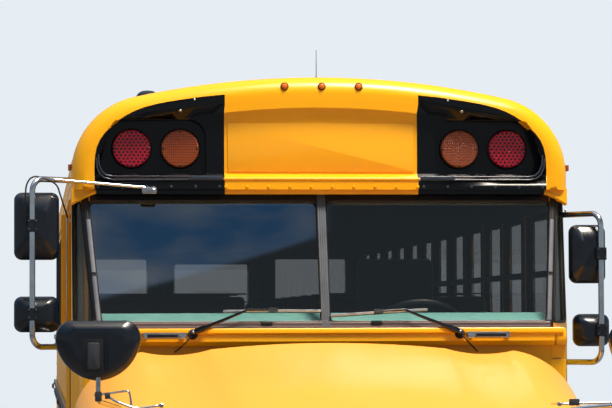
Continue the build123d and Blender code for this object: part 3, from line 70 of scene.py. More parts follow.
def spot(x, s, z):
    """A place on the bus, in metres."""
    return Vector((x, s - LENGTH / 2, z)) / 1000


# Materials

def linear(colour):
    """The linear colour of an sRGB hex value such as #f6a70a."""
    values = [int(colour[i:i + 2], 16) / 255 for i in (1, 3, 5)]
    return tuple(v / 12.92 if v <= 0.04045 else ((v + 0.055) / 1.055) ** 2.4 for v in values) + (1.0,)


def add(tree, kind, inputs=None, **settings):
    """Adds a node with its settings and links, and gives its first output in use.
    An input is named or numbered and takes a value or another node's output."""
    made = tree.nodes.new(kind)
    for name, value in settings.items():
        setattr(made, name, value)
    for socket, value in (inputs or {}).items():
        if isinstance(value, bpy.types.NodeSocket):
            tree.links.new(value, made.inputs[socket])
        else:
            made.inputs[socket].default_value = value
    return next((out for out in made.outputs if out.enabled), None)


def material(name, colour, roughness, **sockets):
    """A material with the shader's plain values set: the material, its tree and its Object coordinates."""
    made = bpy.data.materials.new(name)
    made.use_nodes = True
    shader = made.node_tree.nodes["Principled BSDF"]
    shader.inputs["Base Color"].default_value = linear(colour)
    shader.inputs["Roughness"].default_value = roughness
    for socket, value in sockets.items():
        shader.inputs[socket.replace("_", " ")].default_value = value
    return made, made.node_tree, add(made.node_tree, "ShaderNodeTexCoord").node.outputs["Object"]


def wired(made, **outputs):
    """Links pattern outputs to the shader of a material, each under its socket's name."""
    shader = made.node_tree.nodes["Principled BSDF"]
    for socket, value in outputs.items():
        made.node_tree.links.new(value, shader.inputs[socket.replace("_", " ")])
    return made


def clouded(tree, place, colour, shade, scale, detail, low, high):
    """Two colours mixed by a soft noise between two of its levels: the mixed colour and the noise."""
    cloud = add(tree, "ShaderNodeTexNoise", {"Vector": place, "Scale": scale, "Detail": detail})
    share = add(tree, "ShaderNodeMapRange", {0: cloud, 1: low, 2: high})
    return add(tree, "ShaderNodeMix", {0: share, 6: linear(colour), 7: linear(shade)}, data_type="RGBA"), cloud


def enamel(name, colour, shade, dust, roughness, dirt_top=1.15, **sockets):
    """Sprayed and baked enamel on steel: an orange peel of 7 mm, slow fading, and road dust that thins out upwards."""
    made, tree, place = material(name, colour, roughness, **sockets)
    paint, _ = clouded(tree, place, colour, shade, 1.1, 3.0, 0.35, 0.7)
    height = add(tree, "ShaderNodeSeparateXYZ", {0: place}).node.outputs["Z"]
    low = add(tree, "ShaderNodeMapRange", {0: height, 1: dirt_top, 2: 0.45})
    runs = add(tree, "ShaderNodeMapping", {"Vector": place, "Scale": (1, 1, 0.33)})
    streaks = add(tree, "ShaderNodeTexNoise", {"Vector": runs, "Scale": 4.5, "Detail": 6.0})
    patchy = add(tree, "ShaderNodeMapRange", {0: streaks, 1: 0.3, 2: 0.75})
    film = add(tree, "ShaderNodeMath", {0: low, 1: patchy}, operation="MULTIPLY")
    thin = add(tree, "ShaderNodeMath", {0: film, 1: 0.5}, operation="MULTIPLY")
    dusty = add(tree, "ShaderNodeMix", {0: thin, 6: paint, 7: linear(dust)}, data_type="RGBA")
    dull = add(tree, "ShaderNodeMapRange", {0: film, 3: roughness, 4: 0.7})
    peel = add(tree, "ShaderNodeTexNoise", {"Vector": place, "Scale": 140.0, "Detail": 1.0})
    bump = add(tree, "ShaderNodeBump", {"Height": peel, "Distance": 0.00008})
    return wired(made, Base_Color=dusty, Roughness=dull, Normal=bump)


def moulded(name, colour, shade, roughness, grain=3.6, depth=0.12):
    """Moulded plastic or rubber: the tool's leather grain and cloudy wear. The real grain is about 1.2 mm, finer than
    a pixel, so it is drawn three times as coarse to show at all."""
    made, tree, place = material(name, colour, roughness)
    mix, wear = clouded(tree, place, colour, shade, 8.0, 5.0, 0.4, 0.75)
    sheen = add(tree, "ShaderNodeMapRange", {0: wear, 3: roughness * 0.85, 4: min(1.0, roughness * 1.25)})
    pebbles = add(tree, "ShaderNodeTexNoise", {"Vector": place, "Scale": 1000 / grain, "Detail": 2.0})
    bump = add(tree, "ShaderNodeBump", {"Height": pebbles, "Distance": depth / 1000})
    return wired(made, Base_Color=mix, Roughness=sheen, Normal=bump)


def bare_metal(name, colour, shade, roughness, along=(30, 1, 1)):
    """Drawn or brushed metal: fine lines 1.5 mm apart along one axis, and dull patches."""
    made, tree, place = material(name, colour, roughness, Metallic=1.0)
    mix, _ = clouded(tree, place, colour, shade, 11.0, 4.0, 0.4, 0.8)
    squeezed = add(tree, "ShaderNodeMapping", {"Vector": place, "Scale": [1 / v for v in along]})
    lines = add(tree, "ShaderNodeTexNoise", {"Vector": squeezed, "Scale": 650.0, "Detail": 2.0})
    rough = add(tree, "ShaderNodeMapRange", {0: lines, 1: 0.3, 2: 0.7, 3: roughness * 0.7, 4: min(1, roughness * 1.4)})
    bump = add(tree, "ShaderNodeBump", {"Height": lines, "Distance": 0.00003})
    return wired(made, Base_Color=mix, Roughness=rough, Normal=bump)


def dotted_lens(name, colour, dot):
    """Injection-moulded acrylic over a field of lamps: rows of dark hollows 10 mm wide, 21 mm apart, every other row
    shifted by half, under clear gloss."""
    made, tree, place = material(name, colour, 0.16, IOR=1.49)
    axes = add(tree, "ShaderNodeSeparateXYZ", {0: place}).node.outputs
    row = add(tree, "ShaderNodeMath", {0: axes["Z"], 1: 0.016}, operation="DIVIDE")
    level = add(tree, "ShaderNodeMath", {0: row}, operation="FLOOR")
    shift = add(tree, "ShaderNodeMath", {0: level, 1: 0.5}, operation="MULTIPLY")
    column = add(tree, "ShaderNodeMath", {0: axes["X"], 1: 0.021}, operation="DIVIDE")
    column = add(tree, "ShaderNodeMath", {0: column, 1: shift}, operation="ADD")
    across = add(tree, "ShaderNodeMath", {0: column, 1: 0.5}, operation="PINGPONG")
    up = add(tree, "ShaderNodeMath", {0: row, 1: 0.5}, operation="PINGPONG")
    middle = add(tree, "ShaderNodeMath", {0: up, 1: 0.5}, operation="SUBTRACT")
    wide = add(tree, "ShaderNodeMath", {0: across, 1: 21.0}, operation="MULTIPLY")
    tall = add(tree, "ShaderNodeMath", {0: middle, 1: 16.0}, operation="MULTIPLY")
    spread = add(tree, "ShaderNodeCombineXYZ", {0: wide, 1: tall})
    far = add(tree, "ShaderNodeVectorMath", {0: spread}, operation="LENGTH").node.outputs["Value"]
    hollow = add(tree, "ShaderNodeMapRange", {0: far, 1: 6.6, 2: 4.6})
    mix = add(tree, "ShaderNodeMix", {0: hollow, 6: linear(colour), 7: linear(dot)}, data_type="RGBA")
    bump = add(tree, "ShaderNodeBump", {"Height": hollow, "Distance": 0.001}, invert=True)
    return wired(made, Base_Color=mix, Normal=bump)


def ribbed_lens(name, colour, line):
    """Injection-moulded acrylic with a grid of pillow optics, 10 mm wide and 12.6 mm tall, darker along their joins."""
    made, tree, place = material(name, colour, 0.16, IOR=1.49)
    axes = add(tree, "ShaderNodeSeparateXYZ", {0: place}).node.outputs
    column = add(tree, "ShaderNodeMath", {0: axes["X"], 1: 0.005}, operation="PINGPONG")
    row = add(tree, "ShaderNodeMath", {0: axes["Z"], 1: 0.0063}, operation="PINGPONG")
    upright = add(tree, "ShaderNodeMapRange", {0: column, 1: 0.0016, 2: 0.0004})
    level = add(tree, "ShaderNodeMapRange", {0: row, 1: 0.0022, 2: 0.0006})
    net = add(tree, "ShaderNodeMath", {0: upright, 1: level}, operation="MAXIMUM")
    part = add(tree, "ShaderNodeMath", {0: net, 1: 0.9}, operation="MULTIPLY")
    mix = add(tree, "ShaderNodeMix", {0: part, 6: linear(colour), 7: linear(line)}, data_type="RGBA")
    bump = add(tree, "ShaderNodeBump", {"Height": net, "Distance": 0.0008}, invert=True)
    return wired(made, Base_Color=mix, Normal=bump)


def safety_glass(name, colour, shade, alpha, index=2.6):
    """Tinted safety glass with a faint film of dust, thin enough to show what is behind it unbent. The pane's mirror
    image comes from its outer face alone, so that face is given the strength of both."""
    made, tree, place = material(name, colour, 0.0, Alpha=alpha, IOR=index, Specular_IOR_Level=1.0)
    mix, _ = clouded(tree, place, colour, shade, 1.4, 3.0, 0.4, 0.8)
    return wired(made, Base_Color=mix)


def sheeting(name, colour, groove):
    """Prismatic reflective sheeting: a diamond net of sealed cells. The real cells are 4 mm, drawn here at 15 mm so
    that they show."""
    made, tree, place = material(name, colour, 0.28, Coat_Weight=0.5, Coat_Roughness=0.1)
    axes = add(tree, "ShaderNodeSeparateXYZ", {0: place}).node.outputs
    rising = add(tree, "ShaderNodeMath", {0: axes["X"], 1: axes["Z"]}, operation="ADD")
    falling = add(tree, "ShaderNodeMath", {0: axes["X"], 1: axes["Z"]}, operation="SUBTRACT")
    one = add(tree, "ShaderNodeMath", {0: rising, 1: 0.0075}, operation="PINGPONG")
    two = add(tree, "ShaderNodeMath", {0: falling, 1: 0.0075}, operation="PINGPONG")
    near = add(tree, "ShaderNodeMath", {0: one, 1: two}, operation="MINIMUM")
    net = add(tree, "ShaderNodeMapRange", {0: near, 1: 0.0016, 2: 0.0})
    part = add(tree, "ShaderNodeMath", {0: net, 1: 0.4}, operation="MULTIPLY")
    mix = add(tree, "ShaderNodeMix", {0: part, 6: linear(colour), 7: linear(groove)}, data_type="RGBA")
    bump = add(tree, "ShaderNodeBump", {"Height": net, "Distance": 0.0002}, invert=True)
    return wired(made, Base_Color=mix, Normal=bump)


def coated_fabric(name, colour, shade):
    """Vinyl-coated fabric on foam: a pebbled grain of 2 mm drawn at 6 mm, soft folds and a slight sheen."""
    made, tree, place = material(name, colour, 0.48, Sheen_Weight=0.1)
    mix, wear = clouded(tree, place, colour, shade, 5.0, 4.0, 0.35, 0.75)
    rough = add(tree, "ShaderNodeMapRange", {0: wear, 3: 0.38, 4: 0.6})
    cells = add(tree, "ShaderNodeTexVoronoi", {"Vector": place, "Scale": 170.0}, feature="SMOOTH_F1")
    grain = add(tree, "ShaderNodeBump", {"Height": cells, "Distance": 0.0005}, invert=True)
    folds = add(tree, "ShaderNodeTexNoise", {"Vector": place, "Scale": 9.0, "Detail": 2.0})
    bump = add(tree, "ShaderNodeBump", {"Height": folds, "Distance": 0.002, "Normal": grain})
    return wired(made, Base_Color=mix, Roughness=rough, Normal=bump)


def woven(name, colour, shade):
    """Flat-woven upholstery: crossing threads 1.5 mm apart, drawn at 6 mm."""
    made, tree, place = material(name, colour, 0.85, Sheen_Weight=0.3)
    axes = add(tree, "ShaderNodeSeparateXYZ", {0: place}).node.outputs
    rise = add(tree, "ShaderNodeMath", {0: axes["Y"], 1: axes["Z"]}, operation="ADD")
    warp = add(tree, "ShaderNodeMath", {0: axes["X"], 1: 0.003}, operation="PINGPONG")
    weft = add(tree, "ShaderNodeMath", {0: rise, 1: 0.003}, operation="PINGPONG")
    crossing = add(tree, "ShaderNodeMath", {0: warp, 1: weft}, operation="ADD")
    weave = add(tree, "ShaderNodeMapRange", {0: crossing, 1: 0.0, 2: 0.006})
    mix = add(tree, "ShaderNodeMix", {0: weave, 6: linear(shade), 7: linear(colour)}, data_type="RGBA")
    bump = add(tree, "ShaderNodeBump", {"Height": weave, "Distance": 0.0006})
    return wired(made, Base_Color=mix, Normal=bump)


YELLOW = enamel("baked_enamel_yellow", "#fcae04", "#fdb60c", "#a98a4c", 0.3, Specular_IOR_Level=0.4)
# The bonnet's gelcoat is a paler yellow than the body's enamel; the paleness is a painted reflection of a bright sky at
# grazing angles.
GELCOAT_PAINTED_GLARE = enamel("sprayed_gelcoat_yellow_painted_glare", "#f2a844", "#f4ac4e", "#a98a4c", 0.34, Specular_IOR_Level=0.12)
BLACK = enamel("baked_enamel_black", "#06070a", "#0a0c11", "#5a5346", 0.2, Specular_IOR_Level=0.25)
GLOSS_BLACK = enamel("baked_enamel_black_arm", "#0b0d13", "#10131b", "#5a5346", 0.12)
# The beads and rivet heads are the black enamel lifted to a blue-grey, a painted sky reflection that makes them show on
# the black fields.
BEAD_BLACK_PAINTED_SHEEN = enamel("baked_enamel_black_bead_painted_sheen", "#2b323e", "#343b48", "#5a5346", 0.14)
CHASSIS = enamel("brushed_on_enamel_black", "#121314", "#1d1c1a", "#6b6252", 0.45, 1.5)
WHEEL = enamel("rolled_steel_enamel_black", "#0e0f11", "#18191b", "#5d5546", 0.35, 1.3)
LINING = enamel("roller_coated_steel_grey", "#676a64", "#5d605a", "#55534a", 0.5)
SIGN_RED = enamel("screened_enamel_red", "#b3141c", "#a80f18", "#77504a", 0.35)
SIGN_WHITE = enamel("screened_enamel_white", "#e9e9e4", "#dcdcd4", "#9a968c", 0.4)
SEAT_STEEL = enamel("powder_coated_steel_black", "#17181a", "#1f2022", "#4c4a44", 0.45)
POLE = enamel("powder_coated_steel_yellow", "#b98a14", "#a67a10", "#8d7433", 0.4)
RUBBER = moulded("extruded_rubber_black", "#0c0a0a", "#171312", 0.5)
SILL_RUBBER = moulded("extruded_rubber_weathered", "#5c5053", "#4c4245", 0.5)
POST = moulded("extruded_rubber_grey", "#454b54", "#555c66", 0.45)
INSERT = moulded("extruded_vinyl_light_grey", "#6a6e78", "#7d8089", 0.35)
LIP = moulded("extruded_vinyl_pale_grey", "#a9adb5", "#9a9ea6", 0.4)
BRACKET = moulded("moulded_nylon_grey", "#303237", "#3a3c42", 0.4)
MAT = moulded("calendered_rubber_matting", "#1b1b1b", "#2a2825", 0.75, 12.0, 0.4)
ABS = moulded("moulded_abs_black", "#0b121c", "#131b27", 0.24, 4.5, 0.05)
NYLON = moulded("moulded_nylon_black", "#0b0b0d", "#1a1a1c", 0.38)
# The dash's own teal is lightened here as painted sunlight.
DASH_PAINTED_SUNLIT = moulded("slush_moulded_dash_teal_painted_sunlit", "#93d6cd", "#7fc3bd", 0.5)
WHEEL_RIM = moulded("polyurethane_black", "#0c0c0d", "#171717", 0.45)
TYRE = moulded("vulcanised_rubber_tyre", "#161616", "#2b2926", 0.8, 6.0, 0.3)
CAST = moulded("painted_cast_iron_grey", "#55585a", "#46423d", 0.6, 12.0, 0.6)
STEEL = bare_metal("polished_stainless_steel", "#c9ccd0", "#aab0b6", 0.16, (1, 1, 30))
BLADE = bare_metal("grey_anodised_aluminium", "#b2b4b8", "#96989d", 0.3, (30, 1, 1))
HANDLE = bare_metal("satin_stainless_steel", "#9a9496", "#847d7e", 0.34, (30, 1, 1))
SCREW = bare_metal("zinc_plated_steel", "#b9bcc0", "#8d9196", 0.3)
SASHES = bare_metal("black_anodised_aluminium", "#17181a", "#212326", 0.4, (1, 30, 1))
EXHAUST = bare_metal("aluminised_steel", "#8d8a84", "#6b5a48", 0.42, (1, 40, 1))
REFLECTOR = bare_metal("vacuum_coated_reflector", "#d5d8da", "#c2c6c9", 0.12)
RED = dotted_lens("moulded_acrylic_red", "#b4042a", "#26030c")
AMBER = ribbed_lens("moulded_acrylic_amber", "#a24606", "#3a1505")
MARKER = moulded("moulded_acrylic_orange", "#e2741a", "#c95f0e", 0.14)
CLEAR = ribbed_lens("pressed_lens_clear", "#c9d0d4", "#8e979c")
GLASS = safety_glass("laminated_glass_tinted", "#06090b", "#0a0f12", 0.3)
CORNER_GLASS = safety_glass("laminated_glass_dark", "#030405", "#06090a", 0.62, 1.3)
INNER_FACE = safety_glass("glass_inner_face", "#0a0e10", "#0e1315", 0.05, 1.5)
SIDE_GLASS = safety_glass("toughened_glass_tinted", "#070a0c", "#0b1013", 0.86, 1.6)
MIRROR = bare_metal("silvered_glass", "#dfe5e8", "#cdd6da", 0.03, (1, 1, 1))
SHEETING = sheeting("prismatic_sheeting_yellow", "#fdb40a", "#ee9d04")
VINYL = coated_fabric("coated_fabric_brown", "#4a3022", "#3b261b")
PIPING = coated_fabric("coated_fabric_piping", "#2f1f17", "#27190f")
CLOTH = woven("flat_woven_cloth_charcoal", "#2c3036", "#1d2024")


# Meshes

def mesh_object(name, data, materials=()):
    for finish in materials:
        data.materials.append(finish)
    made = bpy.data.objects.new(name, data)
    bpy.context.scene.collection.objects.link(made)
    return made


def solid(name, points, faces, *finishes):
    """A new mesh object of points in metres, its normals outwards."""
    data = bpy.data.meshes.new(name)
    shape = bmesh.new()
    corners = [shape.verts.new(p) for p in points]
    for face in faces:
        shape.faces.new([corners[i] for i in face])
    bmesh.ops.recalc_face_normals(shape, faces=shape.faces)
    shape.to_mesh(data)
    shape.free()
    return mesh_object(name, data, finishes)


def smooth(piece, crease=35):
    piece.data.shade_smooth()
    piece.data.set_sharp_from_angle(angle=math.radians(crease))
    return piece


def settle(piece):
    """Replaces a piece's mesh by what its modifiers make of it."""
    result = bpy.data.meshes.new_from_object(piece.evaluated_get(bpy.context.evaluated_depsgraph_get()))
    piece.modifiers.clear()
    piece.data = result
    return piece


def joined(name, pieces):
    """Several mesh objects made one, with their finishes."""
    data = bpy.data.meshes.new(name)
    shape = bmesh.new()
    for piece in pieces:
        slots = []
        for finish in piece.data.materials:
            if finish.name not in [m.name for m in data.materials]:
                data.materials.append(finish)
            slots.append([m.name for m in data.materials].index(finish.name))
        part = piece.data.copy()
        for face in part.polygons:
            face.material_index = slots[face.material_index] if slots else 0
        shape.from_mesh(part)
        bpy.data.meshes.remove(part)
        bpy.data.objects.remove(piece)
    shape.to_mesh(data)
    shape.free()
    return mesh_object(name, data)


def mounted(piece, body, *stands_for):
    """Has a piece move with a body and stand for the CAD nodes named."""
    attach(piece, body)
    if stands_for:
        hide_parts(*stands_for)


def fixed(body, name, pieces, *stands_for):
    """Pieces joined into one named object that moves with a body."""
    mounted(joined(name, pieces), body, *stands_for)


def softened(piece, width):
    """Rounds a piece's sharp edges, in metres."""
    bevel = piece.modifiers.new("edges", "BEVEL")
    bevel.width = width
    bevel.segments = 2
    bevel.limit_method = "ANGLE"
    bevel.angle_limit = math.radians(40)
    bevel.harden_normals = True
    settle(piece)


def dressed(node, *finishes, crease=30, edge=0.0, choose=None, cuts=()):
    """A merged copy of a CAD node that stands for it, its edges rounded when edge is given, and a finish for each face.
    cuts are planes as (point, normal), and choose gives a face's finish by its centre and normal."""
    shape = bmesh.new()
    shape.from_mesh(nodes[node].data)
    bmesh.ops.remove_doubles(shape, verts=shape.verts, dist=1e-5)
    for point, normal in cuts:
        bmesh.ops.bisect_plane(shape, geom=shape.verts[:] + shape.edges[:] + shape.faces[:], dist=1e-6,
                               plane_co=point, plane_no=normal)
    data = bpy.data.meshes.new(node + "_finished")
    for face in shape.faces:
        face.material_index = choose(face.calc_center_median(), face.normal) if choose else 0
    bmesh.ops.dissolve_limit(shape, angle_limit=0.002, verts=shape.verts, edges=shape.edges, delimit={"MATERIAL"})
    shape.to_mesh(data)
    shape.free()
    made = smooth(mesh_object(node + "_finished", data, finishes), crease)
    if edge:
        softened(made, edge)
    else:
        flat = made.modifiers.new("flat_faces", "WEIGHTED_NORMAL")
        flat.keep_sharp = True
        flat.weight = 100
        settle(made)
    mounted(made, body_of[node], node)


def rounded(wide, tall, radius, steps=5):
    """Corners of a rounded rectangle round the origin, anticlockwise."""
    points = []
    for turn, (x, z) in enumerate(((1, 1), (-1, 1), (-1, -1), (1, -1))):
        for i in range(steps + 1):
            angle = math.radians(90 * turn + 90 * i / steps)
            points.append((x * (wide / 2 - radius) + radius * math.cos(angle),
                           z * (tall / 2 - radius) + radius * math.sin(angle)))
    return points


def lofted(name, rings, *finishes, endless=False):
    """A skin over rings of as many points each, closed by its end rings or, if endless, into a loop."""
    count = len(rings[0])
    points = [p for ring in rings for p in ring]
    faces = []
    for i in range(len(rings) if endless else len(rings) - 1):
        k = (i + 1) % len(rings)
        for j in range(count):
            n = (j + 1) % count
            faces.append((i * count + j, i * count + n, k * count + n, k * count + j))
    if not endless:
        faces += [tuple(range(count)), tuple(range((len(rings) - 1) * count, len(rings) * count))]
    return solid(name, points, faces, *finishes)


def tile(name, centre, across, up, size, finish, radius, edge):
    """A rounded plate: across and up are its directions, size is its width, height and thickness, and it stands out
    along across x up. radius rounds its corners and edge its front edge."""
    across, up = Vector(across).normalized(), Vector(up).normalized()
    out = across.cross(up)
    wide, tall, thick = size
    origin = spot(*centre)
    rings = []
    for inset, rise in ((0, 0), (0, thick - edge), (edge * 0.3, thick - edge * 0.3), (edge, thick)):
        ring = rounded(wide - 2 * inset, tall - 2 * inset, max(radius - inset, 0.5), 4)
        rings.append([origin + (across * x + up * z + out * rise) / 1000 for x, z in ring])
    return smooth(lofted(name, rings, finish), 40)


def turned(name, profile, centre, axis, finish, steps=32, crease=40):
    """A piece turned on a lathe: profile is (distance along the axis, radius) in millimetres."""
    axis = Vector(axis).normalized()
    side = axis.orthogonal().normalized()
    third = axis.cross(side)
    origin = spot(*centre)
    rings = []
    for along, radius in profile:
        rings.append([origin + (axis * along + (side * math.cos(a) + third * math.sin(a)) * max(radius, 0.02)) / 1000
                      for a in (2 * math.pi * i / steps for i in range(steps))])
    return smooth(lofted(name, rings, finish), crease)


def opening(a, b, low, high):
    """The corners of an opening from a to b and from low to high, in order round it."""
    return (a, low), (b, low), (b, high), (a, high)


def placed(place):
    """A place in metres, given as such a vector or as X, station and Z in millimetres."""
    return place if isinstance(place, Vector) else spot(*place)


def strip(name, path, out, profile, finish, endless=False):
    """A profile drawn along a path of places. A profile point is across the path and outwards, in mm."""
    path, out = [placed(p) for p in path], Vector(out).normalized()
    rings = []
    for i, place in enumerate(path):
        before = path[i - 1] if i or endless else place
        after = path[(i + 1) % len(path)] if i < len(path) - 1 or endless else place
        first = (place - before).normalized() if place != before else (after - place).normalized()
        second = (after - place).normalized() if after != place else first
        across = ((first + second).normalized()).cross(out).normalized()
        stretch = 1 / max(0.5, (first + second).length / 2)
        rings.append([place + (across * a * stretch + out * o) / 1000 for a, o in profile])
    return smooth(lofted(name, rings, finish, endless=endless), 40)


def bend_of(before, corner, after, radius, steps):
    """Places along a bend that takes a corner off a path. It begins and ends that far from the corner, in mm."""
    one, two = (corner + (end - corner).normalized() * radius / 1000 for end in (before, after))
    return [one * (1 - t) ** 2 + corner * 2 * t * (1 - t) + two * t ** 2 for t in (i / steps for i in range(steps + 1))]


# The section of a rubber bead, as shares of its half width and its height
BEAD = [(-1, -0.2), (-1, 0.35), (-0.7, 0.8), (-0.25, 1), (0.25, 1), (0.7, 0.8), (1, 0.35), (1, -0.2)]


def bead(half, tall):
    return [(a * half, o * tall) for a, o in BEAD]


def gasket(name, corners, out, finish, half, tall, radius):
    """A rubber bead round an opening. corners are places in order round the opening."""
    corners = [placed(c) for c in corners]
    path = []
    for before, corner, after in zip(corners[-1:] + corners, corners, corners[1:] + corners[:1]):
        path += bend_of(before, corner, after, radius, 4)
    return strip(name, path, out, bead(half, tall), finish, endless=True)


def tube(name, points, radius, finish, bend=40, steps=12):
    """A round tube through places given as X, station and Z, its corners bent."""
    places = [spot(*p) for p in points]
    path = [places[0]]
    for before, corner, after in zip(places, places[1:], places[2:]):
        path += bend_of(before, corner, after, bend, 5)
    path.append(places[-1])
    out = (path[1] - path[0]).orthogonal()
    rings = []
    for i, place in enumerate(path):
        along = (path[min(i + 1, len(path) - 1)] - path[max(i - 1, 0)]).normalized()
        out = (out - along * out.dot(along)).normalized()
        side = along.cross(out)
        rings.append([place + (out * math.cos(a) + side * math.sin(a)) * radius / 1000
                      for a in (2 * math.pi * k / steps for k in range(steps))])
    return smooth(lofted(name, rings, finish), 50)


# Geometry Nodes

def fastener_rows():
    """Domed heads at an even spacing along edges, standing up along each edge's stored direction."""
    tree = bpy.data.node_groups.new("fastener_rows", "GeometryNodeTree")
    for way in ("INPUT", "OUTPUT"):
        tree.interface.new_socket("Geometry", in_out=way, socket_type="NodeSocketGeometry")
    for label in ("Spacing", "Radius", "Height"):
        tree.interface.new_socket(label, in_out="INPUT", socket_type="NodeSocketFloat")
    tree.interface.new_socket("Finish", in_out="INPUT", socket_type="NodeSocketMaterial")
    given = add(tree, "NodeGroupInput").node.outputs
    curve = add(tree, "GeometryNodeMeshToCurve", {0: given["Geometry"]})
    spaced = add(tree, "GeometryNodeResampleCurve", {"Curve": curve, "Length": given["Spacing"]}, mode="LENGTH")
    points = add(tree, "GeometryNodeCurveToPoints", {0: spaced}, mode="EVALUATED")
    out = add(tree, "GeometryNodeInputNamedAttribute", {"Name": "out"}, data_type="FLOAT_VECTOR")
    turn = add(tree, "FunctionNodeAlignRotationToVector", {"Vector": out}, axis="Z")
    top = add(tree, "ShaderNodeMath", {0: given["Radius"], 1: 0.55}, operation="MULTIPLY")
    head = add(tree, "GeometryNodeMeshCone", {"Vertices": 8, "Radius Top": top, "Radius Bottom": given["Radius"],
                                              "Depth": given["Height"]})
    heads = add(tree, "GeometryNodeInstanceOnPoints", {"Points": points, "Instance": head, "Rotation": turn})
    real = add(tree, "GeometryNodeRealizeInstances", {0: heads})
    finished = add(tree, "GeometryNodeSetMaterial", {0: real, "Material": given["Finish"]})
    add(tree, "NodeGroupOutput", {0: finished})
    return tree


ROWS = fastener_rows()


def rivets(name, rows, finish, spacing, radius, height):
    """Rows of heads on the body. A row is a list of places, each with its outward direction."""
    points, outs, edges = [], [], []
    for row in rows:
        edges += [(len(points) + i, len(points) + i + 1) for i in range(len(row) - 1)]
        points += [placed(place) for place, out in row]
        outs += [Vector(out).normalized() for place, out in row]
    data = bpy.data.meshes.new(name)
    data.from_pydata(points, edges, [])
    stored = data.attributes.new("out", "FLOAT_VECTOR", "POINT")
    for i, out in enumerate(outs):
        stored.data[i].vector = out
    made = mesh_object(name, data)
    modifier = made.modifiers.new("fastener_rows", "NODES")
    modifier.node_group = ROWS
    sockets = {item.name: item.identifier for item in ROWS.interface.items_tree if item.in_out == "INPUT"}
    given = {"Spacing": spacing / 1000, "Radius": radius / 1000, "Height": height / 1000, "Finish": finish}
    for label, value in given.items():
        modifier[sockets[label]] = value
    mounted(smooth(settle(made), 50), "bus")


# Bodywork

def lined(centre, normal):
    """1 for a face of the cabin's lining, 0 for the outside."""
    x, y, z = centre
    inner = abs(x) < (BODY_HALF - SKIN) / 1000 and spot(0, CABIN_FRONT, 0).y < y < spot(0, END_BACK - SKIN, 0).y
    inwards = x * normal.x < -0.005 or z > 2.5 and normal.z < -0.05 or abs(normal.y) > 0.5 and y * normal.y < 0
    return 1 if inner and inwards else 0


# The cap's black fields: X and Z of their outline, from the sign outwards and down
FIELD = [(474, 3038), (575, 3028), (662, 3016), (746, 3003), (812, 2990), (866, 2975), (912, 2957), (952, 2936),
         (990, 2911), (1026, 2881), (1056, 2850), (1080, 2817), (1096, 2780), (1104, 2740), (1107, 2700), (1107, 2500),
         (474, 2500)]
FIELD_SIDES = list(zip(FIELD, FIELD[1:] + FIELD[:1]))


def in_field(x, z):
    x, z, hit = abs(x) * 1000, z * 1000, False
    for (ax, az), (bx, bz) in FIELD_SIDES:
        if (az > z) != (bz > z) and x < (bx - ax) * (z - az) / (bz - az) + ax:
            hit = not hit
    return hit


def front_cap():
    """The roof's front cap: yellow brow, black fields round the lamps, grey inside."""
    cuts = []
    for (ax, az), (bx, bz) in FIELD_SIDES:
        for side in (-1, 1):
            normal = Vector((side * (az - bz), 0, bx - ax)).normalized()
            cuts.append((spot(side * ax, CAP_FRONT, az), normal))
    lining = spot(0, CAP_LINING, 0)
    cuts.append((lining, Vector(BACK)))

    def field(centre, normal):
        if centre.y < lining.y:
            return 1 if in_field(centre.x, centre.z) else 0
        return 2 if abs(centre.x) < 1.16 and centre.z < 3.08 else 0
    dressed("front_cap", YELLOW, BLACK, LINING, cuts=cuts, choose=field, crease=35)


front_cap()
for node in ("left_wall", "right_wall", "roof", "windscreen_frame", "cowl", "rear_wall"):
    dressed(node, YELLOW, LINING, choose=lined)
for node in ("door_leaf_front", "door_leaf_rear", "emergency_door"):
    dressed(node, YELLOW, LINING, choose=lambda c, n: lined(c * 0.98 if abs(c.x) > 1.0 else c, n), edge=0.002)
for node in ("roof_hatch_front", "roof_hatch_rear"):
    dressed(node, YELLOW, edge=0.002)
# The bonnet takes the paler gelcoat yellow, whose paleness is a painted sky reflection.
dressed("bonnet", GELCOAT_PAINTED_GLARE, crease=40)
PLAIN = {
    "bumpers": BLACK, "frame_rails": CHASSIS, "engine": CAST, "front_axle": CHASSIS, "leaf_springs": CHASSIS,
    "rear_axle": CHASSIS, "drive_shaft": CHASSIS, "fuel_tank": CHASSIS, "exhaust": EXHAUST, "floor": MAT,
    "window_sashes": SASHES, "wheel_housings": LINING, "step_well": MAT, "seat_frames": SEAT_STEEL, "dashboard": DASH_PAINTED_SUNLIT,
    "mirror_tubes": STEEL, "mirror_heads": ABS, "rub_rails": BLACK, "steering_wheel": WHEEL_RIM, "grille": ABS,
    "headlamps": CLEAR, "crossover_tubes": STEEL, "crossover_heads": ABS, "knuckle_left": CHASSIS,
    "knuckle_right": CHASSIS, "rim_front_left": WHEEL, "rim_front_right": WHEEL, "rims_rear_left": WHEEL,
    "rims_rear_right": WHEEL, "red_lamps": RED}
for node, finish in PLAIN.items():
    dressed(node, finish)
dressed("amber_lamps", AMBER, MARKER, choose=lambda centre, normal: 1 if centre.z > 3 else 0)


def outer_face(centre, normal):
    """A pane's outer face: 0 in the windscreen, 1 in its corners, 2 elsewhere. 3 is any other face."""
    front = centre.y < spot(0, SCREEN_END, 0).y
    if front and normal.y < -0.9:
        return 0
    if front and normal.y < -0.2 and centre.x * normal.x > 0:
        return 1
    sideways = abs(normal.x) > 0.9 and centre.x * normal.x > 0
    return 2 if sideways and not front or abs(normal.y) > 0.9 and centre.y * normal.y > 0 else 3


for node in ("body_glass", "door_glass_front", "door_glass_rear", "emergency_glass"):
    dressed(node, GLASS, CORNER_GLASS, SIDE_GLASS, INNER_FACE, choose=outer_face)


def bus(name, pieces):
    """Pieces of the body joined into one named object."""
    fixed("bus", name, pieces)


# Windscreen: places on its flat wall are X, the way up the slope from the sill and the distance outwards

SCREEN_RUN, SCREEN_RISE = 0.335, 0.9422


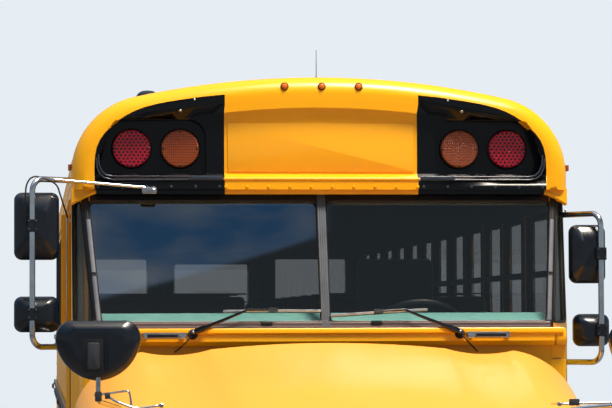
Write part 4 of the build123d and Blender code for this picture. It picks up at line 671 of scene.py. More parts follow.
def on_screen(x, y, out=0.0):
    return spot(x, NOSE_LOW + SCREEN_RUN * y - SCREEN_RISE * out, NOSE_SILL + SCREEN_RISE * y + SCREEN_RUN * out)


def screen_place(x, y, out):
    """The station and height of such a place, in millimetres."""
    place = on_screen(x, y, out)
    return place.y * 1000 + LENGTH / 2, place.z * 1000


SCREEN_OUT, SCREEN_UP = Vector((0, -SCREEN_RISE, SCREEN_RUN)), Vector((0, SCREEN_RUN, SCREEN_RISE))
LEAN = 0.0907        # how far the pillars spread for each millimetre up the slope


def corner_spot(side, u, v):
    """A place on the chamfered corner wall: u from the front ridge to the side, v from the sill to the header."""
    low = spot(side * NOSE_HALF_LOW, NOSE_LOW, NOSE_SILL).lerp(spot(side * BODY_HALF, CORNER_BACK, NOSE_SILL), u)
    high = spot(side * NOSE_HALF_HIGH, NOSE_HIGH, HEADER_Z)
    high = high.lerp(spot(side * BODY_HALF, CORNER_BACK_HIGH, HEADER_Z), u)
    return low.lerp(high, v)


def corner_out(side):
    along, up = corner_spot(side, 1, 0) - corner_spot(side, 0, 0), corner_spot(side, 0, 1) - corner_spot(side, 0, 0)
    normal = along.cross(up)
    return normal.normalized() * (1 if normal.y < 0 else -1)


def screen_rubber():
    """Gaskets of the windscreen and its corner panes, the ribbed middle post and the pillars' filler strips."""
    pieces, fillers = [], []
    for side in (-1, 1):
        corners = [on_screen(side * x, y) for x, y in ((19, 22), (1079, 22), (1137, 661), (19, 661))]
        pieces.append(gasket("pane_gasket", corners, SCREEN_OUT, RUBBER, 7, 9, 40))
        ridge = [on_screen(side * (NOSE_HALF_LOW - 12 + LEAN * y), y) for y in (4, 350, 706)]
        pieces.append(strip("pillar_rubber", ridge, SCREEN_OUT, bead(14, 6), RUBBER))
        out = corner_out(side)
        ridge = [corner_spot(side, 0.03 + 0.04 * v, v) for v in (0.005, 0.5, 0.985)]
        pieces.append(strip("pillar_rubber", ridge, out, bead(9, 5), RUBBER))
        corners = [corner_spot(side, u, v) for u, v in ((0.11, 0.04), (0.88, 0.04), (0.84, 0.92), (0.22, 0.92))]
        pieces.append(gasket("corner_gasket", corners, out, RUBBER, 6, 7, 30))
        for ends in ((36, 266), (286, 560)):
            path = [on_screen(side * (NOSE_HALF_LOW - 15 + LEAN * y), y, 5) for y in ends]
            fillers.append(strip("filler", path, SCREEN_OUT, bead(11, 6), INSERT))
    header = [(-30, 0), (-28, 6), (-12, 9), (-9, 4), (-3, 4), (0, 8), (24, 8), (30, 0)]
    pieces.append(strip("header_rubber", [on_screen(-1128, 684), on_screen(1128, 684)], SCREEN_OUT, header, RUBBER))
    bus("windscreen_rubber", pieces)
    ribs = [(x + dx, out) for x in (-15, -5, 5, 15) for dx, out in ((-4, 10), (4, 10), (4.6, 7.5))]
    cover = [(20, 0), (20, 8)] + [(-a, o) for a, o in ribs] + [(-20, 8), (-20, 0)]
    bus("middle_post", [strip("post_cover", [on_screen(0, y) for y in (2, 700)], SCREEN_OUT, cover, POST)])
    bus("filler_strips", fillers)
    sill = [(-17, 0), (-17, 7), (-9, 10), (2, 6), (5, 9), (12, 9), (15, 5), (15, 0)]
    for name, inner, half, y, profile, finish in (("sill_gasket", "sill_rubber", 1092, 14, sill, SILL_RUBBER),
                                                  ("sill_lip", "bright_lip", 1070, 33, bead(3, 10), LIP)):
        bus(name, [strip(inner, [on_screen(-half, y), on_screen(half, y)], SCREEN_OUT, profile, finish)])
    bus("sill_clips", [tile("clip", (x, *screen_place(x, 24, 8)), LEFT, SCREEN_UP, (58, 20, 8), NYLON, 9, 3)
                       for x in (-287, 246)])


screen_rubber()


def cap_details():
    """Blank sign panel, ledge and pocket beads, drip flange, rivets and screws of the front cap."""
    bus("sign_panel", [tile("panel", (0, SIGN_S, 2782), LEFT, UP, (916, 238, 4), SHEETING, 8, 1)])
    beads = [strip("ledge_bead", [(-480, CAP_FRONT, 2626), (480, CAP_FRONT, 2626)], AHEAD, bead(7, 5), YELLOW)]
    hem = [(-11, 0), (-11, 6), (9, 6), (11, 0)]
    beads.append(strip("drip_flange", [(-474, FLANGE_S, FLANGE_Z), (474, FLANGE_S, FLANGE_Z)], AHEAD, hem, YELLOW))
    black = []
    skirt = [(1098, 2584), (1098, 2556), (1126, 2546), (1160, 2530), (1194, 2512), (1212, 2501), (1217, 2506),
             (1217, 2584)]

    def swept(x):
        """How far back the skirt lies beyond the cap's flat front."""
        return max(0, x - 1150) * 0.3
    for side in (-1, 1):
        ends = [(side * 475, FLANGE_S, FLANGE_Z), (side * 1098, FLANGE_S, FLANGE_Z)]
        black.append(strip("drip_flange", ends, AHEAD, hem, BLACK))
        rings = [[spot(side * x, s + swept(x), z) for x, z in skirt] for s in (1741, 1744, 1792)]
        beads.append(smooth(lofted("ear_skirt", rings, YELLOW), 50))
        edge = [(side * x, 1742 + swept(x), z + 9) for x, z in skirt[1:6]]
        beads.append(strip("skirt_hem", edge, AHEAD, bead(8, 5), YELLOW))
    bus("cap_beads", beads)
    for side in (-1, 1):
        for rise in (0, 15):
            path = [(486, 2623), (1020, 2623), (1058, 2630), (1081, 2650), (1095, 2684), (1098, 2730)]
            path = [(side * (x - rise * max(0, x - 1000) / 160), CAP_FRONT, z + rise) for x, z in path]
            black.append(strip("pocket_bead", path, AHEAD, bead(4.5, 6), BEAD_BLACK_PAINTED_SHEEN))
        black.append(tile("pocket_lip", (side * 570, CAP_FRONT, 2630), LEFT, UP, (170, 20, 8), BEAD_BLACK_PAINTED_SHEEN, 4, 3))
    bus("pocket_beads", black)
    for name, finish, spans in (("sign_rivets", YELLOW, [(-470, 470)]),
                                ("lamp_rivets", BEAD_BLACK_PAINTED_SHEEN, [(-1090, -500), (500, 1090)])):
        rows = [[((x, CAP_FRONT - 1, 2588), AHEAD) for x in ends] for ends in spans]
        rivets(name, rows, finish, 102, 8.5, 6)
    screws = []
    for side in (-1, 1):
        for x, s, z, radius, way in ((690, 1728, 2957, 11, (0, -0.6, -0.8)), (622, CAP_FRONT, 3012, 5, AHEAD),
                                     (1158, CAP_FRONT + 20, 2586, 6, AHEAD)):
            head = [(0, radius), (2, radius), (4, radius * 0.5), (4.2, 0)]
            screws.append(turned("screw", head, (side * x, s, z), way, SCREW, 16))
    for x in (-182, 0, 182):
        screws.append(turned("marker_rim", [(-6, 20), (4, 19.5), (7, 17), (7, 12)], (x, 1725, 3079), AHEAD, RUBBER, 24))
    bus("cap_screws", screws)


cap_details()


# Lamps

def round_lamp_rims():
    """A black bezel and four dark screws for each round lamp."""
    rims, screws = [], []
    head = [(0, 5.5), (2.5, 5), (4, 2.5), (4, 0)]
    lamps = [(x, LAMP_Z, LAMP_R, s, way) for s, way in ((POCKET_S, -1), (END_BACK, 1)) for x in (RED_X, AMBER_X)]
    lamps += [(1000, z, 89, END_BACK, 1) for z in (1560, 1350)]
    for x, z, radius, s, way in lamps:
        bezel = [(out, radius + more) for out, more in ((0, 7), (4, 6), (9, 3), (10, 0.5), (0, 0.5))]
        for side in (-1, 1):
            rims.append(turned("bezel", bezel, (side * x, s, z), (0, way, 0), RUBBER, 48))
            for angle in (0, 90, 180, 270):
                dx, dz = 82 * math.cos(math.radians(angle)), 82 * math.sin(math.radians(angle))
                place = (side * x + dx, s + way * (LAMP_TALL - 0.5), z + dz)
                screws.append(turned("lens_screw", head, place, (0, way, 0), NYLON, 12))
    bus("lamp_bezels", rims)
    bus("lens_screws", screws)
    bus("rear_lamp_plates", [tile("plate", (side * 807, END_BACK, LAMP_Z), RIGHT, UP, (530, 252, 3), BLACK, 60, 1)
                             for side in (-1, 1)])


round_lamp_rims()


# Wipers

def wiper(side, node):
    """A forged arm, its knuckle and spring cover, and a blade on a claw, parked along the foot of the windscreen."""
    pivot_x, pivot_y, tip_x, climb = 643, -40, 385, 116
    place = on_screen(side * pivot_x, pivot_y) * 1000 + Vector((0, LENGTH / 2, 0))
    cap = [(0, 24), (42, 24), (46, 21), (46, 14), (56, 13), (60, 9), (60, 0)]
    nut = turned("pivot_nut", cap, place, SCREEN_OUT, NYLON, 24)
    stud = turned("pivot_stud", [(58, 7), (66, 6.5), (68, 4), (68, 0)], place, SCREEN_OUT, SCREW, 12)
    arm = []
    for t, wide, tall in ((0, 27, 16), (0.18, 26, 16), (0.26, 17, 12), (0.7, 13, 9), (1, 10, 7)):
        x, y = side * (pivot_x + (tip_x - pivot_x) * t), pivot_y + climb * t
        half = [(-wide / 2, 0), (-wide / 2, tall * 0.7), (-wide / 4, tall)]
        ring = half + [(-a, o) for a, o in reversed(half)]
        arm.append([on_screen(x + a * 0.41 * side, y + a * 0.912, 58 - 14 * t - tall / 2 + o) for a, o in ring])
    low, rise = (56, 30) if side > 0 else (80, 0)     # the blade's inner end and how much it climbs outwards
    inner, span, middle = 22, 473, 258
    tip = [on_screen(side * x, low + rise * (x - inner) / span, 43) for x in (388, 250)]
    pieces = [nut, stud, smooth(lofted("arm", arm, GLOSS_BLACK), 30),
              strip("arm_tip", tip, SCREEN_OUT, bead(5, 6), GLOSS_BLACK)]
    for half, back, tall, wide, finish in ((240, 9, 13, 4.5, RUBBER), (236, 22, 11, 6, BLADE)):
        rings = []
        for t in (-1, -0.92, 0, 0.92, 1):
            top = back + tall * (1 - 0.55 * abs(t) ** 6)
            x = middle + half * t
            section = ((-1, back), (-1, top - 2), (-0.5, top), (0.5, top), (1, top - 2), (1, back))
            rings.append([on_screen(side * x, low + rise * (x - inner) / span + a * wide, o) for a, o in section])
        pieces.append(smooth(lofted("blade", rings, finish), 30))
    claw = [on_screen(side * 255 + a, low + rise / 2 + b, o) for o in (26, 50) for a, b in opening(-22, 22, -9, 9)]
    faces = [(0, 1, 2, 3), (4, 5, 6, 7), (0, 1, 5, 4), (1, 2, 6, 5), (2, 3, 7, 6), (3, 0, 4, 7)]
    pieces.append(solid("claw", claw, faces, NYLON))
    fixed(body_of[node], node + "_assembly", pieces, node)


for side, node in ((1, "wiper_left"), (-1, "wiper_right")):
    wiper(side, node)


# Mirrors, handles, dash, shelf and roof fittings

def flat_oval(share):
    """The crossover mirror's outline, flat on top, as a share of its full size."""
    half = [(0, 132.5), (90, 132.5), (126, 132.5), (152, 126), (171, 104), (186, 72), (188, 48), (182, 10), (166, -38),
            (143, -69), (108, -103), (66, -122), (30, -131)]
    return [(x * share, z * share) for x, z in half + [(0, -132.5)] + [(-x, z) for x, z in reversed(half[1:])]]


def mirror_fittings():
    """Mirror glass, the bolts of the heads' clamps, the crossover mirrors' mounts, feet of the tubes and the cable."""
    glass, bolts = [], []
    glass_s, clamp_s = 1706, 1578
    heads = [(-1, 167, 2395, 216, 324), (-1, 167, 1971, 216, 172), (1, 81, 2258, 176, 286), (1, 98, 1886, 176, 158)]
    posts = {-1: -1406, 1: 1352}
    for side, out, z, wide, tall in heads:
        x = side * (BODY_HALF + out)
        glass.append(tile("mirror_glass", (x, glass_s, z), RIGHT, UP, (wide - 20, tall - 20, 2), MIRROR, 30, 0.5))
        for dx in (-17, 17):
            for dz in (-20, 20):
                place = (posts[side] + dx, clamp_s, z + dz)
                bolts.append(turned("clamp_bolt", [(0, 6), (4, 6), (5, 4), (5, 0)], place, AHEAD, NYLON, 6, 20))
    faces, mounts = [], []
    for side, inside, s, z in ((-1, 101, 450, 1807), (1, -132, 490, 1790)):
        x = side * (BODY_HALF - inside)
        rings = [[spot(x + a, s + rise, z + b) for a, b in flat_oval(share)]
                 for share, rise in ((0.93, 0), (0.92, 3), (0.6, 9), (0.2, 12))]
        faces.append(smooth(lofted("crossover_glass", rings, MIRROR)))
        mounts.append(tile("mount_slot", (x - 22, s - 69, z - 22), LEFT, UP, (92, 150, 2), NYLON, 12, 1))
        mounts.append(tile("mount_block", (x - 22, s - 71, z - 22), LEFT, UP, (56, 118, 16), BRACKET, 12, 7))
        for dx in (28, 40):
            rib = [(x + dx, s + ds, z + dz) for ds, dz in ((-66, 96), (-71, 40), (-71, -30), (-66, -90))]
            mounts.append(strip("rib", rib, AHEAD, bead(2.5, 4), ABS))
    bus("mirror_faces", glass)
    fixed("bonnet", "crossover_faces", faces)
    bus("mirror_bolts", bolts)
    fixed("bonnet", "crossover_mounts", mounts)
    bolt = [(0, 9), (6, 9), (8, 6), (8, 0)]
    feet = [tile("stay_plate", (-842, 1716, 2570), LEFT, UP, (72, 34, 9), SCREW, 8, 3),
            turned("stay_bolt", bolt, (-822, 1708, 2570), AHEAD, SCREW, 6, 20)]
    for side, s, z in ((-1, 1790, 2447), (1, 1860, 2496)):
        feet += [turned("foot_bolt", bolt, (side * 1222, s, z + dz), (side, 0, 0), SCREW, 6, 20) for dz in (-18, 18)]
    bus("mirror_feet", feet)
    cable = tube("mirror_cable", [(-1432, 1612, 2390), (-1442, 1600, 2480), (-1436, 1600, 2600), (-1400, 1620, 2640),
                                  (-1290, 1640, 2600), (-1236, 1780, 2440)], 4, RUBBER, 34, 8)
    bus("mirror_cable", [cable])


def crossover_stays():
    """Polished rods that brace the crossover mirrors' stems to the bonnet, with clamps and end bolts."""
    rods = [([(-1136, 397, 1613), (-984, 397, 1633), (-977, 397, 1600), (-973, 398, 1558)], 5, 14),
            ([(-1086, 397, 1618), (-1057, 396, 1592), (-955, 396, 1553), (-843, 398, 1567), (-838, 600, 1560)], 6, 30),
            ([(925, 600, 1558), (925, 424, 1562), (1180, 430, 1568), (1351, 450, 1580)], 6, 30)]
    pieces = [tube("stay_rod", path, radius, STEEL, bend, 10) for path, radius, bend in rods]
    for x, s, z, wide, tall in ((-1118, 398, 1608, 30, 44), (-1078, 393, 1610, 24, 26), (993, 420, 1570, 46, 30),
                                (1351, 440, 1580, 30, 40)):
        pieces.append(tile("stay_clamp", (x, s, z), LEFT, UP, (wide, tall, 11), BRACKET, 5, 3))
    for x, s, z in ((-843, 394, 1567), (925, 420, 1562)):
        pieces.append(turned("stay_bolt", [(0, 11), (8, 11), (10, 8), (10, 0)], (x, s, z), AHEAD, SCREW, 6, 20))
    fixed("bonnet", "crossover_stays", pieces)


def grab_handles():
    """A flat pressed bar with a grooved grip and a screwed pad at each end, on two feet, and the washers' hoses."""
    pieces, hoses, z = [], [], 1866
    for side in (-1, 1):
        pieces.append(tile("bar", (side * 778, 1493, z), LEFT, UP, (208, 31, 16), HANDLE, 7, 4))
        pieces.append(tile("groove", (side * 790, 1478, z), LEFT, UP, (146, 14, 2), ABS, 5, 1))
        for x, wide in ((694, 34), (872, 18)):
            pieces.append(tile("pad", (side * x, 1479, z), LEFT, UP, (wide, 29, 3), STEEL, 5, 1))
            head = [(0, 5), (2, 4.5), (3, 2), (3, 0)]
            pieces.append(turned("pad_screw", head, (side * x, 1476, z), AHEAD, SCREW, 12))
            pieces.append(tile("foot", (side * x, 1521, z), LEFT, UP, (22, 22, 30), HANDLE, 4, 1))
        path = [(side * x, s, z) for x, s, z in ((652, 1482, 1862), (668, 1478, 1846), (700, 1490, 1812),
                                                 (730, 1530, 1788))]
        hoses.append(tube("washer_hose", path, 3.5, RUBBER, 14, 8))
    fixed("bus", "grab_handles_finished", pieces, "grab_handles")
    bus("washer_hoses", hoses)


def dash_cover():
    """The padded top of the dash, which rises behind the windscreen."""
    pad = [(1614, 1898), (1614, 1908), (1700, 1944), (1768, 1972), (1784, 1974), (1796, 1966), (1800, 1940),
           (1784, 1925)]
    half = [(1046, 0, 0), (1096, 1664, 0), (1106, 1686, 8)]
    ends = [(-x, s, drop) for x, s, drop in reversed(half)] + half
    rings = [[spot(x, max(s, low), z - drop) for s, z in pad] for x, low, drop in ends]
    bus("dash_cover", [smooth(lofted("dash_cover", rings, DASH_PAINTED_SUNLIT), 40)])


def shelf_ends():
    """The shelf's outer ends, the corner panels below them with their seam, and the shelf's rolled lip."""
    pieces = []
    section = [(1536, 1900), (1520, 1874), (1516, 1838), (1530, 1816)]
    plan = [(1088, 1566), (1096, 1558), (1150, 1558), (1166, 1565), (1173, 1582), (1181, 1726), (1150, 1664)]
    for side in (-1, 1):
        rings = []
        for x, back in ((1108, 0), (1150, 0), (1164, 5), (1172, 24)):
            wall = CORNER_BACK - (BODY_HALF - x) * 2.017 + 6
            rings.append([spot(side * x, s + back, z - back * 0.2) for s, z in section] +
                         [spot(side * x, wall, 1816), spot(side * x, wall, 1900 - back * 0.2)])
        pieces.append(smooth(lofted("shelf_end", rings, YELLOW), 40))
        for low, high in ((1180, SEAM_Z), (SEAM_Z + 5, 1818)):
            rings = [[spot(side * x, s + inset, z) for x, s in plan]
                     for z, inset in ((low, 3), (low + 3, 0), (high - 3, 0), (high, 3))]
            pieces.append(smooth(lofted("corner_panel", rings, YELLOW), 30))
    lip = [(-16, 0), (-17, 9), (-9, 15), (6, 15), (14, 8), (14, 0)]
    pieces.append(strip("shelf_lip", [(-1150, 1524, 1884), (1150, 1524, 1884)], AHEAD, lip, YELLOW))
    bus("shelf_ends", pieces)


def roof_fittings():
    """Whip antenna on a rubber foot and the low round dome of a warning light."""
    base = (25, 2250, ROOF_TOP)
    foot = turned("antenna_foot", [(-20, 19), (8, 19), (22, 12), (34, 7), (34, 0)], base, UP, RUBBER)
    whip = [(0, 3), (30, 3), (34, 5), (40, 5), (44, 2.4), (176, 1.6), (178, 0)]
    dome = [(-20, 66), (54, 66), (60, 62), (76, 59), (91, 48), (101, 30), (105, 0)]
    fixed("bus", "roof_fittings_finished", [foot, turned("whip", whip, base, UP, POST, 10),
                                            turned("dome", dome, (-800, 3000, 3054), UP, ABS, 40)], "roof_fittings")


mirror_fittings()
crossover_stays()
grab_handles()
roof_fittings()
dash_cover()
shelf_ends()


# Wheels

def tyre(name, x, s):
    """A road tyre with five ribs, shoulder lugs and a bead, spun round its axle."""
    w, r, steps, lug_depth, groove_depth = TYRE_HALF, TYRE_R, 176, 9, 13
    side = [(-99, BEAD_R + 1), (-103, BEAD_R + 12), (-111, BEAD_R + 20), (-w + 7, BEAD_R + 58), (-w + 1, r - 112),
            (-w, r - 96), (-w + 5, r - 58), (-w + 12, r - 32), (-w + 17, r - 20)]
    tread = [(-w + 24, r - 4), (-w + 38, r)]
    for groove, top, foot in ((-66, 6, 4), (-22, 5, 3), (22, 5, 3), (66, 5, 3)):
        tread += [(groove - top, r), (groove - foot, r - groove_depth), (groove + foot, r - groove_depth),
                  (groove + top, r)]
    half = side + tread + [(w - 38, r), (w - 24, r - 4)] + [(-a, b) for a, b in reversed(side)]
    rings = []
    for i in range(steps):
        angle = 2 * math.pi * i / steps
        ring = []
        for a, b in half:
            shoulder = w - 26 < abs(a) + 2 and b > r - 22
            rib = abs(a) > w - 62 and b >= r - 0.5
            drop = lug_depth if i % 4 == 0 and (shoulder or rib) else 0
            ring.append(spot(x + a, s + (b - drop) * math.sin(angle), AXLE_Z - (b - drop) * math.cos(angle)))
        rings.append(ring)
    return smooth(lofted(name, rings, TYRE, endless=True), 28)


def wheels():
    """The front tyres and the rear twins on both sides, with the rims' nuts and valves."""
    nut = [(0, 21), (4, 21), (5, 16), (22, 16), (25, 12), (25, 8), (40, 8), (42, 6), (42, 0)]
    valve = [(0, 4), (34, 4), (36, 3), (36, 0)]
    nuts, nut_circle, valve_circle = 10, 143, 232
    for side, word in ((1, "left"), (-1, "right")):
        node = "tyre_front_" + word
        mounted(tyre("front_tyre_" + word, side * FRONT_WHEEL_X, FRONT_AXLE), body_of[node], node)
        node = "tyres_rear_" + word
        twins = [tyre("twin", side * (REAR_WHEEL_X + e * TWIN_GAP / 2), REAR_AXLE) for e in (-1, 1)]
        fixed(body_of[node], "rear_tyres_" + word, twins, node)
        for end, rim, x, s in (("front", "rim_front_", side * (FRONT_WHEEL_X + 125), FRONT_AXLE),
                               ("rear", "rims_rear_", side * (REAR_WHEEL_X + 14), REAR_AXLE)):
            pieces = []
            for i in range(nuts):
                turn = math.radians(360 / nuts * i)
                place = (x, s + nut_circle * math.cos(turn), AXLE_Z + nut_circle * math.sin(turn))
                pieces.append(turned("nut", nut, place, (side, 0, 0), SCREW, 6, 20))
            pieces.append(turned("valve", valve, (x, s + valve_circle, AXLE_Z), (side, 0, 0), SCREW, 8))
            fixed(body_of[rim + word], end + "_nuts_" + word, pieces)


wheels()


# Sides, roof and rear

PANEL_RIVET = 6, 3     # a head's radius and height


def roof_arc(count):
    """Places over the roof's section from one spring line to the other: X, Z and the outward direction."""
    across, drop = BODY_HALF - ROOF_CORNER, ROOF_TOP - SPRING_Z
    crown = (across ** 2 + drop ** 2 - ROOF_CORNER ** 2) / (2 * (drop - ROOF_CORNER))
    meet = math.atan2(SPRING_Z - (ROOF_TOP - crown), across)
    right = [(across + ROOF_CORNER * math.cos(a), SPRING_Z + ROOF_CORNER * math.sin(a), math.cos(a), math.sin(a))
             for a in (meet * i / count for i in range(count + 1))]
    middle = [(crown * math.cos(a), ROOF_TOP - crown + crown * math.sin(a), math.cos(a), math.sin(a))
              for a in (meet + (math.pi / 2 - meet) * i / count for i in range(1, count + 1))]
    half = right + middle
    return half + [(-x, z, -nx, nz) for x, z, nx, nz in reversed(half[:-1])]


def side_details():
    """Rivet rows, bow seams, drip rails, side lamps and window rubbers."""
    rows, arcs, beads, rubbers = [], [], [], []
    bows = [WINDOW_START + i * WINDOW_PITCH - BOW_LEAD for i in range(WINDOWS + 1)]
    rail = [(-11, 0), (-11, 8), (-7, 13), (3, 13), (5, 9), (11, 0)]
    for side in (-1, 1):
        face, out = side * BODY_HALF, (side, 0, 0)
        start, end = 2740 if side == -1 else 2760, END_FRONT - 40
        for z in (1825, 1725, 1505, 1375, 1145, 1015, 695):
            spans = [(start, end)]
            if z < 1160:
                reach = math.sqrt(max(0, ARCH_R ** 2 - (z - AXLE_Z) ** 2))
                spans = [(start, REAR_AXLE - reach - 20), (REAR_AXLE + reach + 20, end)]
            rows += [[((face, s, z), out) for s in span] for span in spans]
        for s in bows:
            spans = [(1860, 2470)]
            if abs(s - REAR_AXLE) > ARCH_R + 10:
                spans += [(1150, 1370), (1510, 1720)]
            rows += [[((face, s, z), out) for z in span] for span in spans]
            beads.append(strip("seam", [(face, s - 22, z) for z in (1145, 1375)], out, bead(3, 1.5), YELLOW))
        rows.append([((face, s, 2600), out) for s in (WALL_FRONT + 20, end)])
        beads.append(strip("drip_rail", [(face, s, 2528) for s in (ROOF_FRONT - 30, END_FRONT)], out, rail, YELLOW))
        windows = [(s + BOW_LEAD, s + BOW_LEAD + WINDOW_WIDE) for s in bows[:-1]]
        for a, b in windows + ([DRIVER_WINDOW] if side == 1 else []):
            corners = [(face, s, z) for s, z in opening(a, b, SILL_Z, HEAD_Z)]
            rubbers.append(gasket("window_rubber", corners, out, RUBBER, 7, 4, 25))
    arc = roof_arc(9)
    band = ((-34, -1), (-34, 1.5), (-31, 3), (31, 3), (34, 1.5), (34, -1))
    for bow in bows:
        arcs += [[((x, s, z), (nx, 0, nz)) for x, z, nx, nz in arc] for s in (bow - 22, bow + 22)]
        rings = [[spot(x + nx * o, bow + a, z + nz * o) for a, o in band] for x, z, nx, nz in arc]
        beads.append(smooth(lofted("roof_bow", rings, YELLOW), 30))
    rivets("side_rivets", rows, YELLOW, 76, *PANEL_RIVET)
    rivets("roof_rivets", arcs, YELLOW, 90, *PANEL_RIVET)
    bus("side_beads", beads)
    bus("window_rubbers", rubbers)
    lamps, bases = [], []
    for side in (-1, 1):
        along = (0, side, 0)
        for s, finish in ((2790, AMBER), (5960, AMBER), (10380, RED)):
            bases.append(tile("lamp_base", (side * (BODY_HALF + 22), s, 1440), along, UP, (130, 52, 4), NYLON, 20, 2))
            lamps.append(tile("lens", (side * (BODY_HALF + 26), s, 1440), along, UP, (112, 36, 12), finish, 16, 6))
    bus("side_lamp_bases", bases)
    bus("side_lamps", lamps)


side_details()


def rear_details():
    """Gaskets, handle, plate holder and reversing lamps on the rear wall."""
    def rubber(name, *sides):
        corners = [(x, END_BACK, z) for x, z in opening(*sides)]
        return gasket(name, corners, BACK, RUBBER, 12, 7, 30)
    bus("rear_window_rubbers", [rubber("window_rubber", a, b, 1790, 2440) for a, b in ((-1080, -500), (500, 1080))])
    fittings = [rubber("exit_rubber", -300, 300, low, high) for low, high in ((1180, 1560), (1760, 2400))]
    x, z = 330, 1640
    grip = [(x, END_BACK + 2, z), (x, END_BACK + 55, z), (210, END_BACK + 55, z)]
    fittings.append(tube("exit_handle", grip, 11, STEEL, 20))
    fittings.append(turned("handle_rose", [(0, 34), (5, 34), (9, 26), (9, 0)], (x, END_BACK, z), BACK, STEEL))
    fixed(body_of["emergency_door"], "exit_fittings", fittings)
    plastics = [tile("plate_holder", (-820, END_BACK, 1120), RIGHT, UP, (320, 170, 6), NYLON, 10, 2)]
    rim, lens = [(0, 66), (8, 66), (12, 60), (12, 0)], [(0, 56), (22, 54), (27, 44), (29, 0)]
    places = [(side * 1000, END_BACK, 1165) for side in (-1, 1)]
    bus("rear_plastics", plastics + [turned("reversing_rim", rim, place, BACK, NYLON, 40) for place in places])
    bus("reversing_lamps", [turned("reversing_lens", lens, place, BACK, CLEAR, 40) for place in places])
    edge = [(-8, 0), (-8, 1.5), (8, 1.5), (8, 0)]
    uprights = [side * x for side in (-1, 1) for x in (455, 1110)]
    bus("rear_seams", [strip("corner_seam", [(x, END_BACK - 1, z) for z in (700, 2560)], BACK, edge, YELLOW)
                       for x in uprights])
    rows = [[((x, END_BACK, z), BACK) for z in (720, 2560)] for x in uprights]
    rows += [[((side * x, END_BACK, z), BACK) for x in (470, 1100)]
             for side in (-1, 1) for z in (760, 1040, 1720, 2520)]
    rivets("rear_rivets", rows, YELLOW, 76, *PANEL_RIVET)


rear_details()


def door_details():
    """Rubber edges and light gaskets of the entrance door's leaves, the seal behind the emergency door, the trims of
    the entrance's front pillar and the grab pole."""
    corners = [(x, END_BACK - 46, z) for x, z in opening(-402, 402, FLOOR_Z + 4, 2482)]
    bus("exit_seal", [gasket("exit_seal", corners, AHEAD, RUBBER, 15, 8, 20)])
    bus("corner_post_trim", [tile("corner_post_trim", (-1153, 1940, 2236), LEFT, UP, (116, 640, 10), ABS, 10, 3)])
    for node, low, high in (("door_leaf_front", 1963, 2317), ("door_leaf_rear", 2333, 2687)):
        rubbers = []
        for z0, z1 in ((560, 1180), (1260, 2400)):
            corners = [(-BODY_HALF, s, z) for s, z in opening(low + 55, high - 55, z0, z1)]
            rubbers.append(gasket("light_rubber", corners, RIGHT, RUBBER, 11, 6, 40))
        s = high - 8 if node == "door_leaf_front" else low + 8
        seal = [(-BODY_HALF, s, z) for z in (430, 2465)]
        rubbers.append(strip("door_seal", seal, RIGHT, bead(8, 7), RUBBER))
        fixed(body_of[node], node + "_rubbers", rubbers)
    bus("door_pillar", [tile("door_pillar", (-1244, 1938, 2180), LEFT, UP, (44, 560, 8), YELLOW, 6, 2)])
    edge = [(-1238, 1929, z) for z in (1905, 2455)]
    bus("door_pillar_edge", [strip("bright_edge", edge, AHEAD, bead(4, 4), STEEL)])
    bus("entrance_pole", [tube("entrance_pole", [(-1150, 1880, 1075), (-1150, 1880, 2560)], 17, POLE)])


door_details()


# Stop arm

def stop_arm():
    """The octagonal sign, red with a blank white border and two red lamps."""
    dressed("stop_arm", SIGN_RED)
    body, hinge, half_wide = body_of["stop_arm"], 2860, 228.5
    x, middle, z = BODY_HALF + 57, hinge + 40 + half_wide, 1610
    rings = []
    for half, rise in ((226, 0), (226, 0.8), (206, 0.8), (206, 0)):
        radius = half / math.cos(math.pi / 8)
        rings.append([spot(x + rise, middle + radius * math.cos(a), z + radius * math.sin(a))
                      for a in (math.radians(22.5 + 45 * i) for i in range(8))])
    mounted(lofted("sign_border", rings, SIGN_WHITE, endless=True), body)
    for name, profile, finish in (("sign_lamp", [(0, 50), (16, 48), (22, 38), (24, 0)], RED),
                                  ("sign_lamp_rim", [(0, 60), (8, 60), (10, 56), (10, 49)], NYLON)):
        fixed(body, name + "s", [turned(name, profile, (x, middle, z + dz), LEFT, finish, 36) for dz in (-130, 130)])


stop_arm()


# Front end

def front_end():
    """Headlamp frames and bowls, bonnet latches and the roof hatches' ribs."""
    frames, bowls, latches = [], [], []
    bowl = [(0, 47), (1, 50), (3, 50), (4, 47), (4, 30), (2, 12), (6, 0)]
    for side in (-1, 1):
        x, z = side * 850, 1055
        rings = [[spot(x + a, 200 - out, z + b) for a, b in rounded(wide, tall, corner)]
                 for wide, tall, out, corner in ((250, 185, 12, 38), (250, 185, 17, 38), (238, 173, 20, 34),
                                                 (228, 163, 12, 30))]
        frames.append(smooth(lofted("lamp_frame", rings, NYLON, endless=True), 30))
        bowls += [turned("lamp_bowl", bowl, (x + dx, 193, z), AHEAD, REFLECTOR, 36) for dx in (-52, 52)]
        along = (0, side, 0)
        latches.append(tile("latch", (side * BODY_HALF, 1500, 1420), along, UP, (46, 130, 10), RUBBER, 14, 4))
        latches.append(tile("latch_hook", (side * (BODY_HALF + 10), 1500, 1470), along, UP, (26, 46, 8), SCREW, 6, 3))
    fixed("bonnet", "headlamp_frames", frames)
    fixed("bonnet", "headlamp_bowls", bowls)
    fixed("bonnet", "bonnet_latches", latches)
    for node, s in (("roof_hatch_front", 4350), ("roof_hatch_rear", 8300)):
        ribs = [tile("rib", (x, s, 3186), BACK, RIGHT, (520, 34, 7), YELLOW, 12, 5) for x in (-180, -60, 60, 180)]
        fixed(body_of[node], node + "_ribs", ribs)


front_end()


# Seats: foam pads in coated fabric, swollen by cloth pressure

CLOTH_FRAMES = 20
RAKE = Matrix.Rotation(math.radians(90 - 8), 4, "X")     # backrests lean back by 8 degrees


